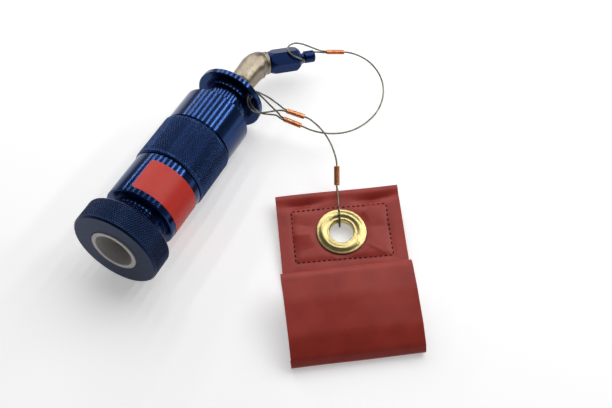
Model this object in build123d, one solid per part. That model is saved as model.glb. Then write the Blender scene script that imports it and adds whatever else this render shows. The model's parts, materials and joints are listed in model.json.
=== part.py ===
from build123d import *
import math
import os

# A test adaptor that clamps over the tip of an aircraft pressure probe, with a capped hose
# port at its rear, two wire rope lanyards and a folded warning streamer.
# Sizes are in millimetres. The adaptor lies on a table, its mouth towards -X.
# Stations along the adaptor are distances from the mouth face.

# Clamp nut
NUT_RADIUS = 29.7
NUT_LENGTH = 17.0
NUT_CHAMFER = 1.2
NUT_LIP = 5.0
THREAD_PITCH = 1.5
TURNS_IN = 2.0
NUT_LIP_CLEARANCE = 0.25
NUT_THREAD_CLEARANCE = 0.3

# Guide bush and seal
PROBE_BORE_RADIUS = 13.25
BUSH_WALL = 2.6
BUSH_PROUD = 0.6
BUSH_SHOULDER_WIDTH = 2.5
BUSH_SHOULDER_HEIGHT = 2.4
BUSH_CHAMFER = 0.4
BUSH_TAIL = 3.2
BUSH_TRAVEL_RESERVE = 0.7
SEAL_LENGTH = 5.2
SEAL_GAP = 0.1
COUNTERBORE_CLEARANCE = 0.35
POCKET_CLEARANCE = 0.35
LIP_GAP = 0.1

# Barrel
NECK_RADIUS = 19.5
NECK_CHAMFER = 0.6
FRONT_BODY_START = 28.0
BODY_RADIUS = 24.4
BODY_CHAMFER = 0.8
FRONT_BODY_LENGTH = 35.0
GRIP_RADIUS = 25.4
GRIP_LENGTH = 35.0
SPIGOT_RADIUS = 20.0
SPIGOT_ENGAGEMENT = 6.0
SPIGOT_GAP = 0.1
GROOVE_DEPTH = 0.9
GROOVE_WIDTH = 1.2
REAR_BODY_LENGTH = 27.5
REAR_NECK_RADIUS = 16.0
REAR_NECK_LENGTH = 17.0
REAR_COLLAR_RADIUS = 19.0
REAR_COLLAR_LENGTH = 4.0
FLANGE_RADIUS = 24.2
FLANGE_THICKNESS = 4.6
FLANGE_CHAMFER = 0.6
PROBE_DEPTH = 92.0
PRESSURE_PASSAGE_RADIUS = 3.0

# Blank label
LABEL_START = 34.3
LABEL_WIDTH = 22.7
LABEL_THICKNESS = 0.25
LABEL_FIRST_ANGLE = -16.0
LABEL_SPAN = 178.0

# Elbow fitting
ELBOW_ANGLE = 45.0
ELBOW_ROLL = 8.0
ELBOW_CORNER = 34.3
ELBOW_FOOT_RADIUS = 8.4
ELBOW_FOOT_LENGTH = 7.0
ELBOW_FOOT_CHAMFER = 0.5
ELBOW_BODY_RADIUS = 9.2
ELBOW_WAIST_RADIUS = 7.4
ELBOW_WAIST_LENGTH = 3.5
ELBOW_WAIST_FLARE = 1.5
ELBOW_COLLAR_RADIUS = 8.0
ELBOW_BEND_RADIUS = 14.0
ELBOW_OUTLET = 8.6
STUB_RADIUS = 5.5
STUB_LENGTH = 13.0
STUB_THREAD_RELIEF = 0.4

# Pressure cap
CAP_START = 9.2
CAP_FLATS = 14.3
CAP_HEX_LENGTH = 24.0
CAP_ROUNDING = 1.6
CAP_NECK_RADIUS = 3.0
CAP_NECK_LENGTH = 3.4
CAP_NUB_RADIUS = 4.4
CAP_NUB_LENGTH = 8.0
CAP_CLEARANCE = 0.35
CAP_BORE_DEPTH = 17.5

# Lanyards
WIRE_DIAMETER = 1.2
STRAND_SPACING = 1.5
STRAND_LEAD = 2.6
FERRULE_LENGTH = 13.0
FERRULE_WIDTH = 3.8
FERRULE_HEIGHT = 3.0
LANYARD_HOLE_RADIUS = 2.6
LANYARD_HOLE_CIRCLE = 20.5
LANYARD_HOLE_ANGLE = 55.0

# Streamer and grommet
STREAMER_WIDTH = 80.0
STREAMER_THICKNESS = 1.0
GROMMET_RADIUS = 15.5
GROMMET_HOLE_RADIUS = 7.8
GROMMET_THICKNESS = 1.2
SOFT_GAP = 0.3
GROMMET_STATION = 30.5
STREAMER_TOP_HEIGHT = 8.0
STREAMER_PLACE = (114.7, -96.7)
STREAMER_HEADING = 212.5

# Places along the adaptor that follow from the sizes above
NECK_START = (NUT_LIP + LIP_GAP + BUSH_SHOULDER_WIDTH + THREAD_PITCH * TURNS_IN
              + BUSH_TRAVEL_RESERVE)
BUSH_RADIUS = PROBE_BORE_RADIUS + BUSH_WALL
BUSH_END = NECK_START + BUSH_TAIL
SEAL_START = BUSH_END + THREAD_PITCH * TURNS_IN + SOFT_GAP
SEAL_END = SEAL_START + SEAL_LENGTH
FRONT_BODY_END = FRONT_BODY_START + FRONT_BODY_LENGTH
GRIP_END = FRONT_BODY_END + GRIP_LENGTH
SPIGOT_END = GRIP_END + SPIGOT_ENGAGEMENT
REAR_BODY_END = GRIP_END + REAR_BODY_LENGTH
FLANGE_START = REAR_BODY_END + REAR_NECK_LENGTH
FLANGE_END = FLANGE_START + FLANGE_THICKNESS
COUNTERBORE_RADIUS = BUSH_RADIUS + COUNTERBORE_CLEARANCE
CORNER = FLANGE_END + ELBOW_CORNER

# The adaptor lies on the rear edge of its nut and the rear edge of its flange
NUT_TOUCH = NUT_LENGTH - NUT_CHAMFER
FLANGE_TOUCH = FLANGE_END - FLANGE_CHAMFER
TILT = math.degrees(math.atan((NUT_RADIUS - FLANGE_RADIUS) / (FLANGE_TOUCH - NUT_TOUCH)))
MOUTH_HEIGHT = (NUT_RADIUS * math.cos(math.radians(TILT))
                + NUT_TOUCH * math.sin(math.radians(TILT)))
ADAPTOR = Location((0, 0, MOUTH_HEIGHT), (0, TILT, 0))
ELBOW = ADAPTOR * Location((0, 0, 0), (180 + ELBOW_ROLL, 0, 0))
CAP = ELBOW * Location((CORNER, 0, 0), (0, 0, ELBOW_ANGLE))


def turned(profile):
    """A solid turned about the X axis from (station, radius) points."""
    outline = Polyline(*[(x, r, 0) for x, r in profile], close=True)
    return revolve(make_face(outline), Axis.X)


def bored(start, end, radius):
    """A round hole's tool along X."""
    return turned([(start, 0), (end, 0), (end, radius), (start, radius)])


def chamfered_tube(start, end, outer, inner, chamfer):
    """A turned ring with both outer edges chamfered."""
    return turned([
        (start, inner), (start, outer - chamfer), (start + chamfer, outer),
        (end - chamfer, outer), (end, outer - chamfer), (end, inner)])


def make_clamp_nut():
    lip_bore = BUSH_RADIUS + NUT_LIP_CLEARANCE
    thread_bore = NECK_RADIUS + NUT_THREAD_CLEARANCE
    return turned([
        (0, lip_bore), (0, NUT_RADIUS - NUT_CHAMFER), (NUT_CHAMFER, NUT_RADIUS),
        (NUT_LENGTH - NUT_CHAMFER, NUT_RADIUS), (NUT_LENGTH, NUT_RADIUS - NUT_CHAMFER),
        (NUT_LENGTH, thread_bore), (NUT_LIP, thread_bore), (NUT_LIP, lip_bore)])


def make_guide_bush():
    shoulder = BUSH_RADIUS + BUSH_SHOULDER_HEIGHT
    shoulder_start = NUT_LIP + LIP_GAP
    shoulder_end = shoulder_start + BUSH_SHOULDER_WIDTH
    return turned([
        (-BUSH_PROUD, PROBE_BORE_RADIUS), (-BUSH_PROUD, BUSH_RADIUS - BUSH_CHAMFER),
        (-BUSH_PROUD + BUSH_CHAMFER, BUSH_RADIUS), (shoulder_start, BUSH_RADIUS),
        (shoulder_start, shoulder), (shoulder_end, shoulder), (shoulder_end, BUSH_RADIUS),
        (BUSH_END, BUSH_RADIUS), (BUSH_END, PROBE_BORE_RADIUS)])


def make_seal():
    return turned([
        (SEAL_START, PROBE_BORE_RADIUS), (SEAL_START, COUNTERBORE_RADIUS - SEAL_GAP),
        (SEAL_END, COUNTERBORE_RADIUS - SEAL_GAP), (SEAL_END, PROBE_BORE_RADIUS)])


def make_front_body():
    bore = PROBE_BORE_RADIUS + POCKET_CLEARANCE
    solid = turned([
        (NECK_START, COUNTERBORE_RADIUS), (NECK_START, NECK_RADIUS - NECK_CHAMFER),
        (NECK_START + NECK_CHAMFER, NECK_RADIUS), (FRONT_BODY_START, NECK_RADIUS),
        (FRONT_BODY_START, BODY_RADIUS - BODY_CHAMFER),
        (FRONT_BODY_START + BODY_CHAMFER, BODY_RADIUS),
        (FRONT_BODY_END - GROOVE_WIDTH, BODY_RADIUS),
        (FRONT_BODY_END - GROOVE_WIDTH, BODY_RADIUS - GROOVE_DEPTH),
        (FRONT_BODY_END, BODY_RADIUS - GROOVE_DEPTH),
        (FRONT_BODY_END, SPIGOT_RADIUS), (SPIGOT_END, SPIGOT_RADIUS),
        (SPIGOT_END, PRESSURE_PASSAGE_RADIUS), (PROBE_DEPTH, PRESSURE_PASSAGE_RADIUS),
        (PROBE_DEPTH, bore), (SEAL_END, bore), (SEAL_END, COUNTERBORE_RADIUS)])
    return solid


def make_grip_band():
    return chamfered_tube(
        FRONT_BODY_END, GRIP_END, GRIP_RADIUS, SPIGOT_RADIUS + SPIGOT_GAP, BODY_CHAMFER)


def make_rear_body():
    solid = turned([
        (GRIP_END, SPIGOT_RADIUS + SPIGOT_GAP), (GRIP_END, BODY_RADIUS - GROOVE_DEPTH),
        (GRIP_END + GROOVE_WIDTH, BODY_RADIUS - GROOVE_DEPTH),
        (GRIP_END + GROOVE_WIDTH, BODY_RADIUS),
        (REAR_BODY_END - BODY_CHAMFER, BODY_RADIUS),
        (REAR_BODY_END, BODY_RADIUS - BODY_CHAMFER), (REAR_BODY_END, REAR_NECK_RADIUS),
        (FLANGE_START - REAR_COLLAR_LENGTH, REAR_NECK_RADIUS),
        (FLANGE_START - REAR_COLLAR_LENGTH, REAR_COLLAR_RADIUS),
        (FLANGE_START, REAR_COLLAR_RADIUS), (FLANGE_START, FLANGE_RADIUS - FLANGE_CHAMFER),
        (FLANGE_START + FLANGE_CHAMFER, FLANGE_RADIUS),
        (FLANGE_END - FLANGE_CHAMFER, FLANGE_RADIUS), (FLANGE_END, FLANGE_RADIUS - FLANGE_CHAMFER),
        (FLANGE_END, PRESSURE_PASSAGE_RADIUS),
        (SPIGOT_END + SPIGOT_GAP, PRESSURE_PASSAGE_RADIUS),
        (SPIGOT_END + SPIGOT_GAP, SPIGOT_RADIUS + SPIGOT_GAP)])
    hole = Pos(0, 0, LANYARD_HOLE_CIRCLE) * bored(
        FLANGE_START - REAR_COLLAR_LENGTH - 1, FLANGE_END + 1, LANYARD_HOLE_RADIUS)
    return solid - Rot(LANYARD_HOLE_ANGLE, 0, 0) * hole


def make_label():
    inner, outer = BODY_RADIUS, BODY_RADIUS + LABEL_THICKNESS
    strip = make_face(Polyline(
        (LABEL_START, inner, 0), (LABEL_START + LABEL_WIDTH, inner, 0),
        (LABEL_START + LABEL_WIDTH, outer, 0), (LABEL_START, outer, 0), close=True))
    return Rot(90 + LABEL_FIRST_ANGLE, 0, 0) * revolve(strip, Axis.X, LABEL_SPAN)


def make_elbow():
    """The elbow about the adaptor's axis, bent towards +Y, with a flared hose stub."""
    lead = ELBOW_BEND_RADIUS * math.tan(math.radians(ELBOW_ANGLE / 2))
    foot_end = FLANGE_END + ELBOW_FOOT_LENGTH
    waist_end = foot_end + ELBOW_WAIST_LENGTH
    inlet = turned([
        (FLANGE_END, 0), (FLANGE_END, ELBOW_FOOT_RADIUS - ELBOW_FOOT_CHAMFER),
        (FLANGE_END + ELBOW_FOOT_CHAMFER, ELBOW_FOOT_RADIUS), (foot_end, ELBOW_FOOT_RADIUS),
        (foot_end, ELBOW_WAIST_RADIUS), (waist_end, ELBOW_WAIST_RADIUS),
        (waist_end + ELBOW_WAIST_FLARE, ELBOW_BODY_RADIUS), (CORNER - lead, ELBOW_BODY_RADIUS),
        (CORNER - lead, 0)])
    start = Vector(CORNER - lead, 0, 0)
    heading = Vector(1, 0, 0).rotate(Axis.Z, ELBOW_ANGLE)
    bend_path = Edge.make_tangent_arc(start, Vector(1, 0, 0), Vector(CORNER, 0, 0) + heading * lead)
    bend = sweep(Plane(origin=start, z_dir=(1, 0, 0)) * Circle(ELBOW_BODY_RADIUS), bend_path)
    stub_end = ELBOW_OUTLET + STUB_LENGTH
    outlet = turned([
        (lead, 0), (lead, ELBOW_BODY_RADIUS), (lead + 0.8, ELBOW_COLLAR_RADIUS),
        (ELBOW_OUTLET, ELBOW_COLLAR_RADIUS), (ELBOW_OUTLET, STUB_RADIUS - STUB_THREAD_RELIEF),
        (ELBOW_OUTLET + 1.5, STUB_RADIUS - STUB_THREAD_RELIEF), (ELBOW_OUTLET + 1.5, STUB_RADIUS),
        (stub_end - 3.0, STUB_RADIUS), (stub_end, STUB_RADIUS - 2.2), (stub_end, 0)])
    outlet = Location((CORNER, 0, 0), (0, 0, ELBOW_ANGLE)) * outlet
    return inlet + bend + outlet - make_elbow_passage()


def make_elbow_passage():
    """The drilled way through the elbow: two straight holes that meet at the corner."""
    inlet_hole = bored(FLANGE_END - 1, CORNER, PRESSURE_PASSAGE_RADIUS)
    outlet_hole = Location((CORNER, 0, 0), (0, 0, ELBOW_ANGLE)) * bored(
        0, ELBOW_OUTLET + STUB_LENGTH + 1, PRESSURE_PASSAGE_RADIUS)
    knee = Pos(CORNER, 0, 0) * Sphere(PRESSURE_PASSAGE_RADIUS)
    return inlet_hole + outlet_hole + knee


def make_cap():
    """Hexagonal cap about X with a rounded mouth end, a slim neck and a round nub."""
    hex_end = CAP_START + CAP_HEX_LENGTH
    neck_end = hex_end + CAP_NECK_LENGTH
    nub_end = neck_end + CAP_NUB_LENGTH
    corner_radius = CAP_FLATS / math.sqrt(3)
    blank = Plane.YZ.offset(CAP_START) * extrude(
        RegularPolygon(CAP_FLATS / 2, 6, major_radius=False), CAP_HEX_LENGTH)
    envelope = turned([
        (CAP_START, 0), (CAP_START, corner_radius - CAP_ROUNDING),
        (CAP_START + CAP_ROUNDING * 0.4, corner_radius - CAP_ROUNDING * 0.4),
        (CAP_START + CAP_ROUNDING, corner_radius + 0.01),
        (hex_end - CAP_ROUNDING, corner_radius + 0.01), (hex_end, corner_radius - CAP_ROUNDING),
        (hex_end, 0)])
    tail = turned([
        (hex_end - 1, 0), (hex_end - 1, CAP_NECK_RADIUS), (neck_end, CAP_NECK_RADIUS),
        (neck_end, CAP_NUB_RADIUS - 0.6), (neck_end + 0.6, CAP_NUB_RADIUS),
        (nub_end - 1.2, CAP_NUB_RADIUS), (nub_end, CAP_NUB_RADIUS - 1.2), (nub_end, 0)])
    bore = bored(CAP_START - 1, CAP_START + CAP_BORE_DEPTH, STUB_RADIUS + CAP_CLEARANCE)
    return (blank & envelope) + tail - bore


def corner_radii(points):
    """The largest arcs that a cord's runs allow, one for each corner of its route."""
    radii = []
    for before, corner, after in zip(points, points[1:], points[2:]):
        run_in, run_out = corner - before, after - corner
        turn = math.radians(run_in.get_angle(run_out))
        shorter = min(run_in.length, run_out.length)
        radii.append(0.45 * shorter / math.tan(turn / 2))
    return radii


def make_cord(name, points):
    """A wire rope's tube along straight runs that tangent arcs join."""
    points = [Vector(point) for point in points]
    radii = corner_radii(points)
    path = FilletPolyline(*points, radius=radii)
    section = Plane(origin=path @ 0, z_dir=path % 0) * Circle(WIRE_DIAMETER / 2)
    tube = sweep(section, path)
    runs = [(b - a).length for a, b in zip(points, points[1:])]
    expected = math.pi * WIRE_DIAMETER ** 2 / 4 * path.length
    print(f"{name}: length {path.length:.1f}, radii {min(radii):.1f} to {max(radii):.1f}, "
          f"runs {min(runs):.1f} to {max(runs):.1f}, volume share {tube.volume / expected:.4f}")
    return tube


def make_ferrule(start, end_point):
    """An oval crimp sleeve from start towards end_point."""
    heading = (Vector(end_point) - Vector(start)).normalized()
    side = heading.cross(Vector(0, 0, 1)).normalized()
    plane = Plane(origin=Vector(start), x_dir=side, z_dir=heading)
    outline = plane * SlotOverall(FERRULE_WIDTH, FERRULE_HEIGHT)
    sleeve = extrude(outline, FERRULE_LENGTH)
    return sleeve, plane


def strand_points(plane, across, along=0.0, outwards=-1):
    """A strand's end on a ferrule's face and a short straight lead away from it."""
    return [plane.from_local_coords(Vector(across[0], across[1], along)),
            plane.from_local_coords(Vector(across[0], across[1], along + outwards * STRAND_LEAD))]


# Ferrules' places, and the routes of the wire between them, in the frame under the mouth
FERRULE_A1 = ((145.9, -41.2, 22.0), (147.2, -53.0, 20.0))
FERRULE_B1 = ((150.3, -41.2, 26.0), (153.2, -53.3, 23.0))
FERRULE_A2 = ((54.4, -0.7, -1.4), (67.0, 2.3, -2.0))
FERRULE_B2 = ((130.1, -89.4, 15.5), (119.5, -94.7, 9.5))
RUN_A = [
    (148.4, -60.0, 17.8), (151.5, -66.5, 14.8), (156.5, -72.8, 11.6), (163.0, -79.0, 8.8),
    (171.0, -84.5, 7.0), (180.5, -88.6, 6.2), (190.5, -91.0, 6.0), (200.5, -91.0, 6.6),
    (210.0, -88.8, 7.8), (218.6, -84.0, 9.4), (225.4, -76.6, 11.2), (229.4, -67.6, 13.2),
    (229.6, -58.4, 15.0)]
RUN_B = [
    (153.8, -59.0, 21.2), (152.4, -65.0, 19.6), (149.6, -70.9, 18.4), (145.6, -76.4, 17.9),
    (140.8, -81.4, 17.6), (135.6, -85.9, 17.0)]
# Loops through the flange, as offsets from the middle of its lanyard hole
FLANGE_LOOP_A = [
    (0.9, -19.2, -12.8), (-0.9, -14.6, -12.5), (-3.2, -10.6, -11.6), (-4.4, -7.0, -9.9),
    (-4.6, -3.8, -7.0), (-4.3, -1.5, -3.7), (-3.4, -0.5, -0.7), (3.4, -0.5, -0.9),
    (5.1, -3.2, -3.4), (5.2, -7.2, -6.6), (4.4, -11.6, -9.2), (3.4, -15.9, -11.0),
    (2.4, -20.0, -12.3)]
FLANGE_LOOP_B = [
    (3.0, -20.6, -8.9), (-0.2, -16.9, -8.6), (-3.4, -13.2, -8.4), (-6.3, -9.4, -8.2),
    (-7.8, -5.5, -7.0), (-7.8, -2.3, -4.2), (-6.2, -0.2, -1.0), (-3.2, 0.5, 0.9),
    (3.2, 0.5, 0.7), (6.4, -1.8, -0.6), (7.6, -5.4, -2.6), (7.6, -9.5, -4.6),
    (7.2, -13.6, -6.2), (6.6, -17.6, -7.4), (6.1, -21.2, -8.3)]
# Loop round the cap's neck, in the cap's frame: station, towards the viewer, down
CAP_LOOP = [
    (48.6, -2.6, -2.6), (42.4, -5.2, -4.6), (36.4, -7.2, -7.0), (30.6, -7.4, -8.6),
    (25.8, -5.2, -9.4), (23.2, -1.8, -9.7), (23.6, 1.8, -9.4), (27.0, 5.0, -8.6),
    (31.2, 7.0, -7.2), (34.4, 6.8, -4.8), (35.2, 4.9, -1.2), (34.9, 3.2, 2.7),
    (34.9, -0.4, 4.2), (35.5, -3.9, 3.3), (38.6, -5.6, 2.4), (43.0, -5.0, 1.4),
    (48.6, -3.2, 0.0)]
# Loop through the grommet, in the streamer's frame: station, across, height
GROMMET_LOOP = [
    (0.8, 0.9, 11.4), (7.6, 0.4, 12.6), (14.4, -0.1, 12.8), (20.4, -0.4, 11.6),
    (25.0, -0.6, 8.6), (26.2, -0.6, 4.6), (23.0, -0.4, 1.9), (17.4, -0.1, 1.6),
    (10.6, 0.3, 2.2), (4.2, 0.7, 3.9), (-0.9, 1.0, 6.6)]
# The streamer's folds seen from its side: station from the top edge and height, along the
# face that lies under its top part
STREAMER_FOLDS = [
    (0.0, STREAMER_TOP_HEIGHT), (62.0, 1.4), (103.0, 0.3), (108.5, 2.5), (101.5, 4.7),
    (66.0, 20.0), (70.5, 22.0), (86.0, 20.2), (108.0, 14.4), (119.0, 8.2), (122.4, 2.6),
    (116.0, 1.0)]
STREAMER_RADII = [90.0, 2.0, 1.2, 2.0, 1.2, 6.0, 40.0, 22.0, 6.0, 1.8]


def streamer_place():
    """The streamer's frame: station along X, width along Y, on the table."""
    return Location((STREAMER_PLACE[0], STREAMER_PLACE[1], 0), (0, 0, STREAMER_HEADING))


def grommet_place():
    (x0, z0), (x1, z1) = STREAMER_FOLDS[0], STREAMER_FOLDS[1]
    slope = (z1 - z0) / (x1 - x0)
    height = z0 + slope * GROMMET_STATION + STREAMER_THICKNESS / 2
    return streamer_place() * Location(
        (GROMMET_STATION, 0, height), (0, -math.degrees(math.atan(slope)), 0))


def make_streamer():
    """A strip of coated cloth folded in three, with a hole for the grommet."""
    centre = FilletPolyline(*[(x, z) for x, z in STREAMER_FOLDS], radius=STREAMER_RADII)
    edge = offset(centre, amount=STREAMER_THICKNESS, side=Side.LEFT)
    outline = Plane.XZ * make_face(edge)
    sheet = extrude(outline, STREAMER_WIDTH / 2, both=True)
    strip = streamer_place() * sheet
    hole = grommet_place() * Cylinder(GROMMET_HOLE_RADIUS + 1.4, 8)
    return strip - hole


def make_grommet():
    """A turned brass eyelet about Z: a beaded rim above the cloth and a barrel through it."""
    cloth = STREAMER_THICKNESS / 2 + SOFT_GAP
    top = cloth + GROMMET_THICKNESS
    bead = 0.9
    bead_radius = GROMMET_RADIUS - 3.6
    barrel = GROMMET_HOLE_RADIUS + 1.0
    rim = make_face(Polyline(
        (barrel - 0.4, 0, cloth), (GROMMET_RADIUS - 0.4, 0, cloth), (GROMMET_RADIUS, 0, cloth + 0.3),
        (GROMMET_RADIUS - 1.0, 0, top - 0.3), (bead_radius, 0, top + 0.2),
        (GROMMET_HOLE_RADIUS + 1.2, 0, top), (barrel - 0.4, 0, top), close=True))
    ring = make_face(Polyline(
        (GROMMET_HOLE_RADIUS, 0, -cloth - 1.2), (barrel, 0, -cloth - 1.2), (barrel, 0, cloth + 0.2),
        (GROMMET_HOLE_RADIUS + 1.6, 0, top), (GROMMET_HOLE_RADIUS + 0.7, 0, top + 0.3),
        (GROMMET_HOLE_RADIUS, 0, top - 0.6), close=True))
    bead_ring = Pos(0, 0, top) * Torus(bead_radius, bead)
    return revolve(rim, Axis.Z) + revolve(ring, Axis.Z) + bead_ring


def make_grommet_washer():
    """The brass washer under the cloth that the eyelet's barrel is rolled over."""
    cloth = STREAMER_THICKNESS / 2 + SOFT_GAP
    inner = GROMMET_HOLE_RADIUS + 1.1
    return revolve(make_face(Polyline(
        (inner, 0, -cloth - 0.8), (GROMMET_RADIUS - 1.5, 0, -cloth - 0.8),
        (GROMMET_RADIUS - 1.0, 0, -cloth), (inner, 0, -cloth), close=True)), Axis.Z)


def loop_route(plane, across, along, outwards, middle):
    """A loop's route from one strand's place on a ferrule's face back to the other's."""
    first = strand_points(plane, across, along, outwards)
    last = strand_points(plane, (-across[0], -across[1]), along, outwards)
    return first + [Vector(point) for point in middle] + last[::-1]


def run_route(plane_from, plane_to, to_along, to_outwards, middle):
    """A run's route from one ferrule's far face to another ferrule's face."""
    first = strand_points(plane_from, (0, 0), FERRULE_LENGTH, 1)
    last = strand_points(plane_to, (0, 0), to_along, to_outwards)
    return first + [Vector(point) for point in middle] + last[::-1]


def cap_point(point):
    """A point of the cap's frame in the frame under the mouth."""
    return (CAP * Pos(*point)).position


def make_lanyards():
    """Both lanyards' wires, sleeves and what is on them, by name."""
    radial = (Rot(LANYARD_HOLE_ANGLE, 0, 0) * Pos(0, 0, LANYARD_HOLE_CIRCLE)).position
    middle = (FLANGE_START + FLANGE_END) / 2
    hole = (ADAPTOR * Pos(middle, radial.Y, radial.Z)).position
    sleeve_a1, plane_a1 = make_ferrule(*FERRULE_A1)
    sleeve_b1, plane_b1 = make_ferrule(*FERRULE_B1)
    sleeve_a2, plane_a2 = make_ferrule(*[cap_point(point) for point in FERRULE_A2])
    sleeve_b2, plane_b2 = make_ferrule(*FERRULE_B2)
    place = streamer_place()
    cap_route = [cap_point(point) for point in CAP_LOOP]
    grommet_route = [(place * Pos(*point)).position for point in GROMMET_LOOP]
    flat = (STRAND_SPACING / 2, 0)
    stacked = (0, STRAND_SPACING / 2)
    routes = {
        "lanyard_a_flange_loop": loop_route(
            plane_a1, flat, 0, -1, [hole + Vector(step) for step in FLANGE_LOOP_A]),
        "lanyard_b_flange_loop": loop_route(
            plane_b1, flat, 0, -1, [hole + Vector(step) for step in FLANGE_LOOP_B]),
        "lanyard_a_run": run_route(plane_a1, plane_a2, FERRULE_LENGTH, 1, RUN_A),
        "lanyard_b_run": run_route(plane_b1, plane_b2, 0, -1, RUN_B),
        "lanyard_a_cap_loop": loop_route(plane_a2, flat, 0, -1, cap_route[::-1]),
        "lanyard_b_grommet_loop": loop_route(
            plane_b2, stacked, FERRULE_LENGTH, 1, grommet_route[::-1]),
    }
    pieces = {
        "ferrule_a1": sleeve_a1, "ferrule_b1": sleeve_b1,
        "ferrule_a2": sleeve_a2, "ferrule_b2": sleeve_b2}
    pieces.update({name: make_cord(name, route) for name, route in routes.items()})
    return pieces


def bottom_centre(solids):
    """The move that puts the solids' bottom centre at the origin."""
    boxes = [solid.bounding_box() for solid in solids]
    low_x, high_x = min(box.min.X for box in boxes), max(box.max.X for box in boxes)
    low_y, high_y = min(box.min.Y for box in boxes), max(box.max.Y for box in boxes)
    low_z = min(box.min.Z for box in boxes)
    return Pos(-(low_x + high_x) / 2, -(low_y + high_y) / 2, -low_z)


def build():
    """Every sub-part by its name, in the frame under the mouth."""
    adaptor = {
        "clamp_nut": make_clamp_nut(), "guide_bush": make_guide_bush(), "seal": make_seal(),
        "front_body": make_front_body(), "grip_band": make_grip_band(),
        "rear_body": make_rear_body(), "blank_label": make_label()}
    parts = {name: ADAPTOR * solid for name, solid in adaptor.items()}
    parts["elbow"] = ELBOW * make_elbow()
    parts["pressure_cap"] = CAP * make_cap()
    origin = bottom_centre(parts.values())
    parts["streamer"] = make_streamer()
    parts["grommet"] = grommet_place() * make_grommet()
    parts["grommet_washer"] = grommet_place() * make_grommet_washer()
    parts.update(make_lanyards())
    return {name: origin * solid for name, solid in parts.items()}, origin


def main():
    os.makedirs("parts", exist_ok=True)
    parts, origin = build()
    for name, solid in parts.items():
        export_step(solid, f"parts/{name}.step")
    for title, place in (("mouth", ADAPTOR), ("cap", CAP)):
        frame = origin * place
        heading = Plane(frame).x_dir
        print(title, "origin", frame.position, "axis", heading)


if __name__ == "__main__":
    main()
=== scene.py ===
import json
import logging
import math
import random
from dataclasses import dataclass, field
from enum import Enum
from typing import Any, Callable, Iterable, Optional, Sequence

import bmesh
import bpy
from mathutils import Matrix, Vector


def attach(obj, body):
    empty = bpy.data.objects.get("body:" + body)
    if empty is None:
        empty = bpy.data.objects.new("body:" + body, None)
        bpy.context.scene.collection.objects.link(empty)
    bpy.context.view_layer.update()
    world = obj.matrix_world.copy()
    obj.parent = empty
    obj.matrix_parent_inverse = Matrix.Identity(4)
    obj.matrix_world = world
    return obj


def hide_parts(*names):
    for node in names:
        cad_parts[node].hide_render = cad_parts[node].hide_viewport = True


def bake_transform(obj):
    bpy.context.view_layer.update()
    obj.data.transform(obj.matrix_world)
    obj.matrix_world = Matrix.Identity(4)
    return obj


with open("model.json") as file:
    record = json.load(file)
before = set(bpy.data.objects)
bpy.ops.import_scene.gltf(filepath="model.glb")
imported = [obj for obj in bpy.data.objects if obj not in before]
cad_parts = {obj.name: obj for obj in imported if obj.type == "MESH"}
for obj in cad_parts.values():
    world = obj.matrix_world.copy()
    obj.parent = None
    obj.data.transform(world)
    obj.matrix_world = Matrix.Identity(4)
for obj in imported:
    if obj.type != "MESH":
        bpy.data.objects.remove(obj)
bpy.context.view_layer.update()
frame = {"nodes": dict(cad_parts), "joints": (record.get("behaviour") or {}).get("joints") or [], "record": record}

MM = 0.001
LOG = logging.getLogger("probe_adaptor")
Point = tuple[float, float, float]
Profile = list[tuple[float, float]]


class Slot(Enum):
    """The record's material slots."""

    KNURLED = "blue_knurled"
    TURNED = "blue_turned"
    BUSH = "bush"
    SEAL = "seal"
    LABEL = "label"
    ELBOW = "elbow"
    SLEEVE = "sleeve"
    WIRE = "wire"
    BRASS = "brass"
    VINYL = "vinyl"


class Body(Enum):
    """The CAD bodies that pieces ride on."""

    ADAPTOR = "adaptor"
    BUSH = "guide_bush"
    NUT = "clamp_nut"
    CAP = "pressure_cap"


def linear(colour: str) -> tuple[float, float, float, float]:
    """Turns an sRGB hex colour to linear light.

    Args:
        colour: Six hex digits after a hash.

    Returns:
        Red, green, blue and an alpha of one.
    """
    parts = [int(colour[i:i + 2], 16) / 255 for i in (1, 3, 5)]
    red, green, blue = (
        c / 12.92 if c <= 0.04045 else ((c + 0.055) / 1.055) ** 2.4 for c in parts)
    return red, green, blue, 1.0


def add_node(tree: bpy.types.NodeTree, kind: str, settings: dict[str, Any] | None = None,
             links: dict[str, bpy.types.NodeSocket] | None = None) -> bpy.types.Node:
    """Adds one shader node with its settings and links.

    Args:
        tree: The node tree that gets the node.
        kind: The node's type name.
        settings: Input values by input name, or attributes by attribute name.
        links: Output sockets to connect, by input name.

    Returns:
        The new node.
    """
    node = tree.nodes.new(kind)
    for name, value in (settings or {}).items():
        if name in node.inputs:
            node.inputs[name].default_value = value
        else:
            setattr(node, name, value)
    for name, socket in (links or {}).items():
        tree.links.new(socket, node.inputs[name])
    return node


def new_material(name: str) -> tuple[bpy.types.Material, bpy.types.NodeTree, bpy.types.Node]:
    """Makes a material with a bare Principled shader.

    Args:
        name: The finish's name.

    Returns:
        The material, its node tree and its Principled node.
    """
    material = bpy.data.materials.new(name)
    material.use_nodes = True
    tree = material.node_tree
    return material, tree, tree.nodes["Principled BSDF"]


def fine_bump(tree: bpy.types.NodeTree, height: bpy.types.NodeSocket, depth_mm: float,
              strength: float = 1.0) -> bpy.types.NodeSocket:
    """Adds a bump of a real depth.

    Args:
        tree: The node tree.
        height: The height, from 0 to 1.
        depth_mm: How deep the full height is.
        strength: The bump's share.

    Returns:
        The bump's normal output.
    """
    bump = add_node(tree, "ShaderNodeBump", {"Strength": strength, "Distance": depth_mm * MM},
                    {"Height": height})
    return bump.outputs["Normal"]


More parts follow.
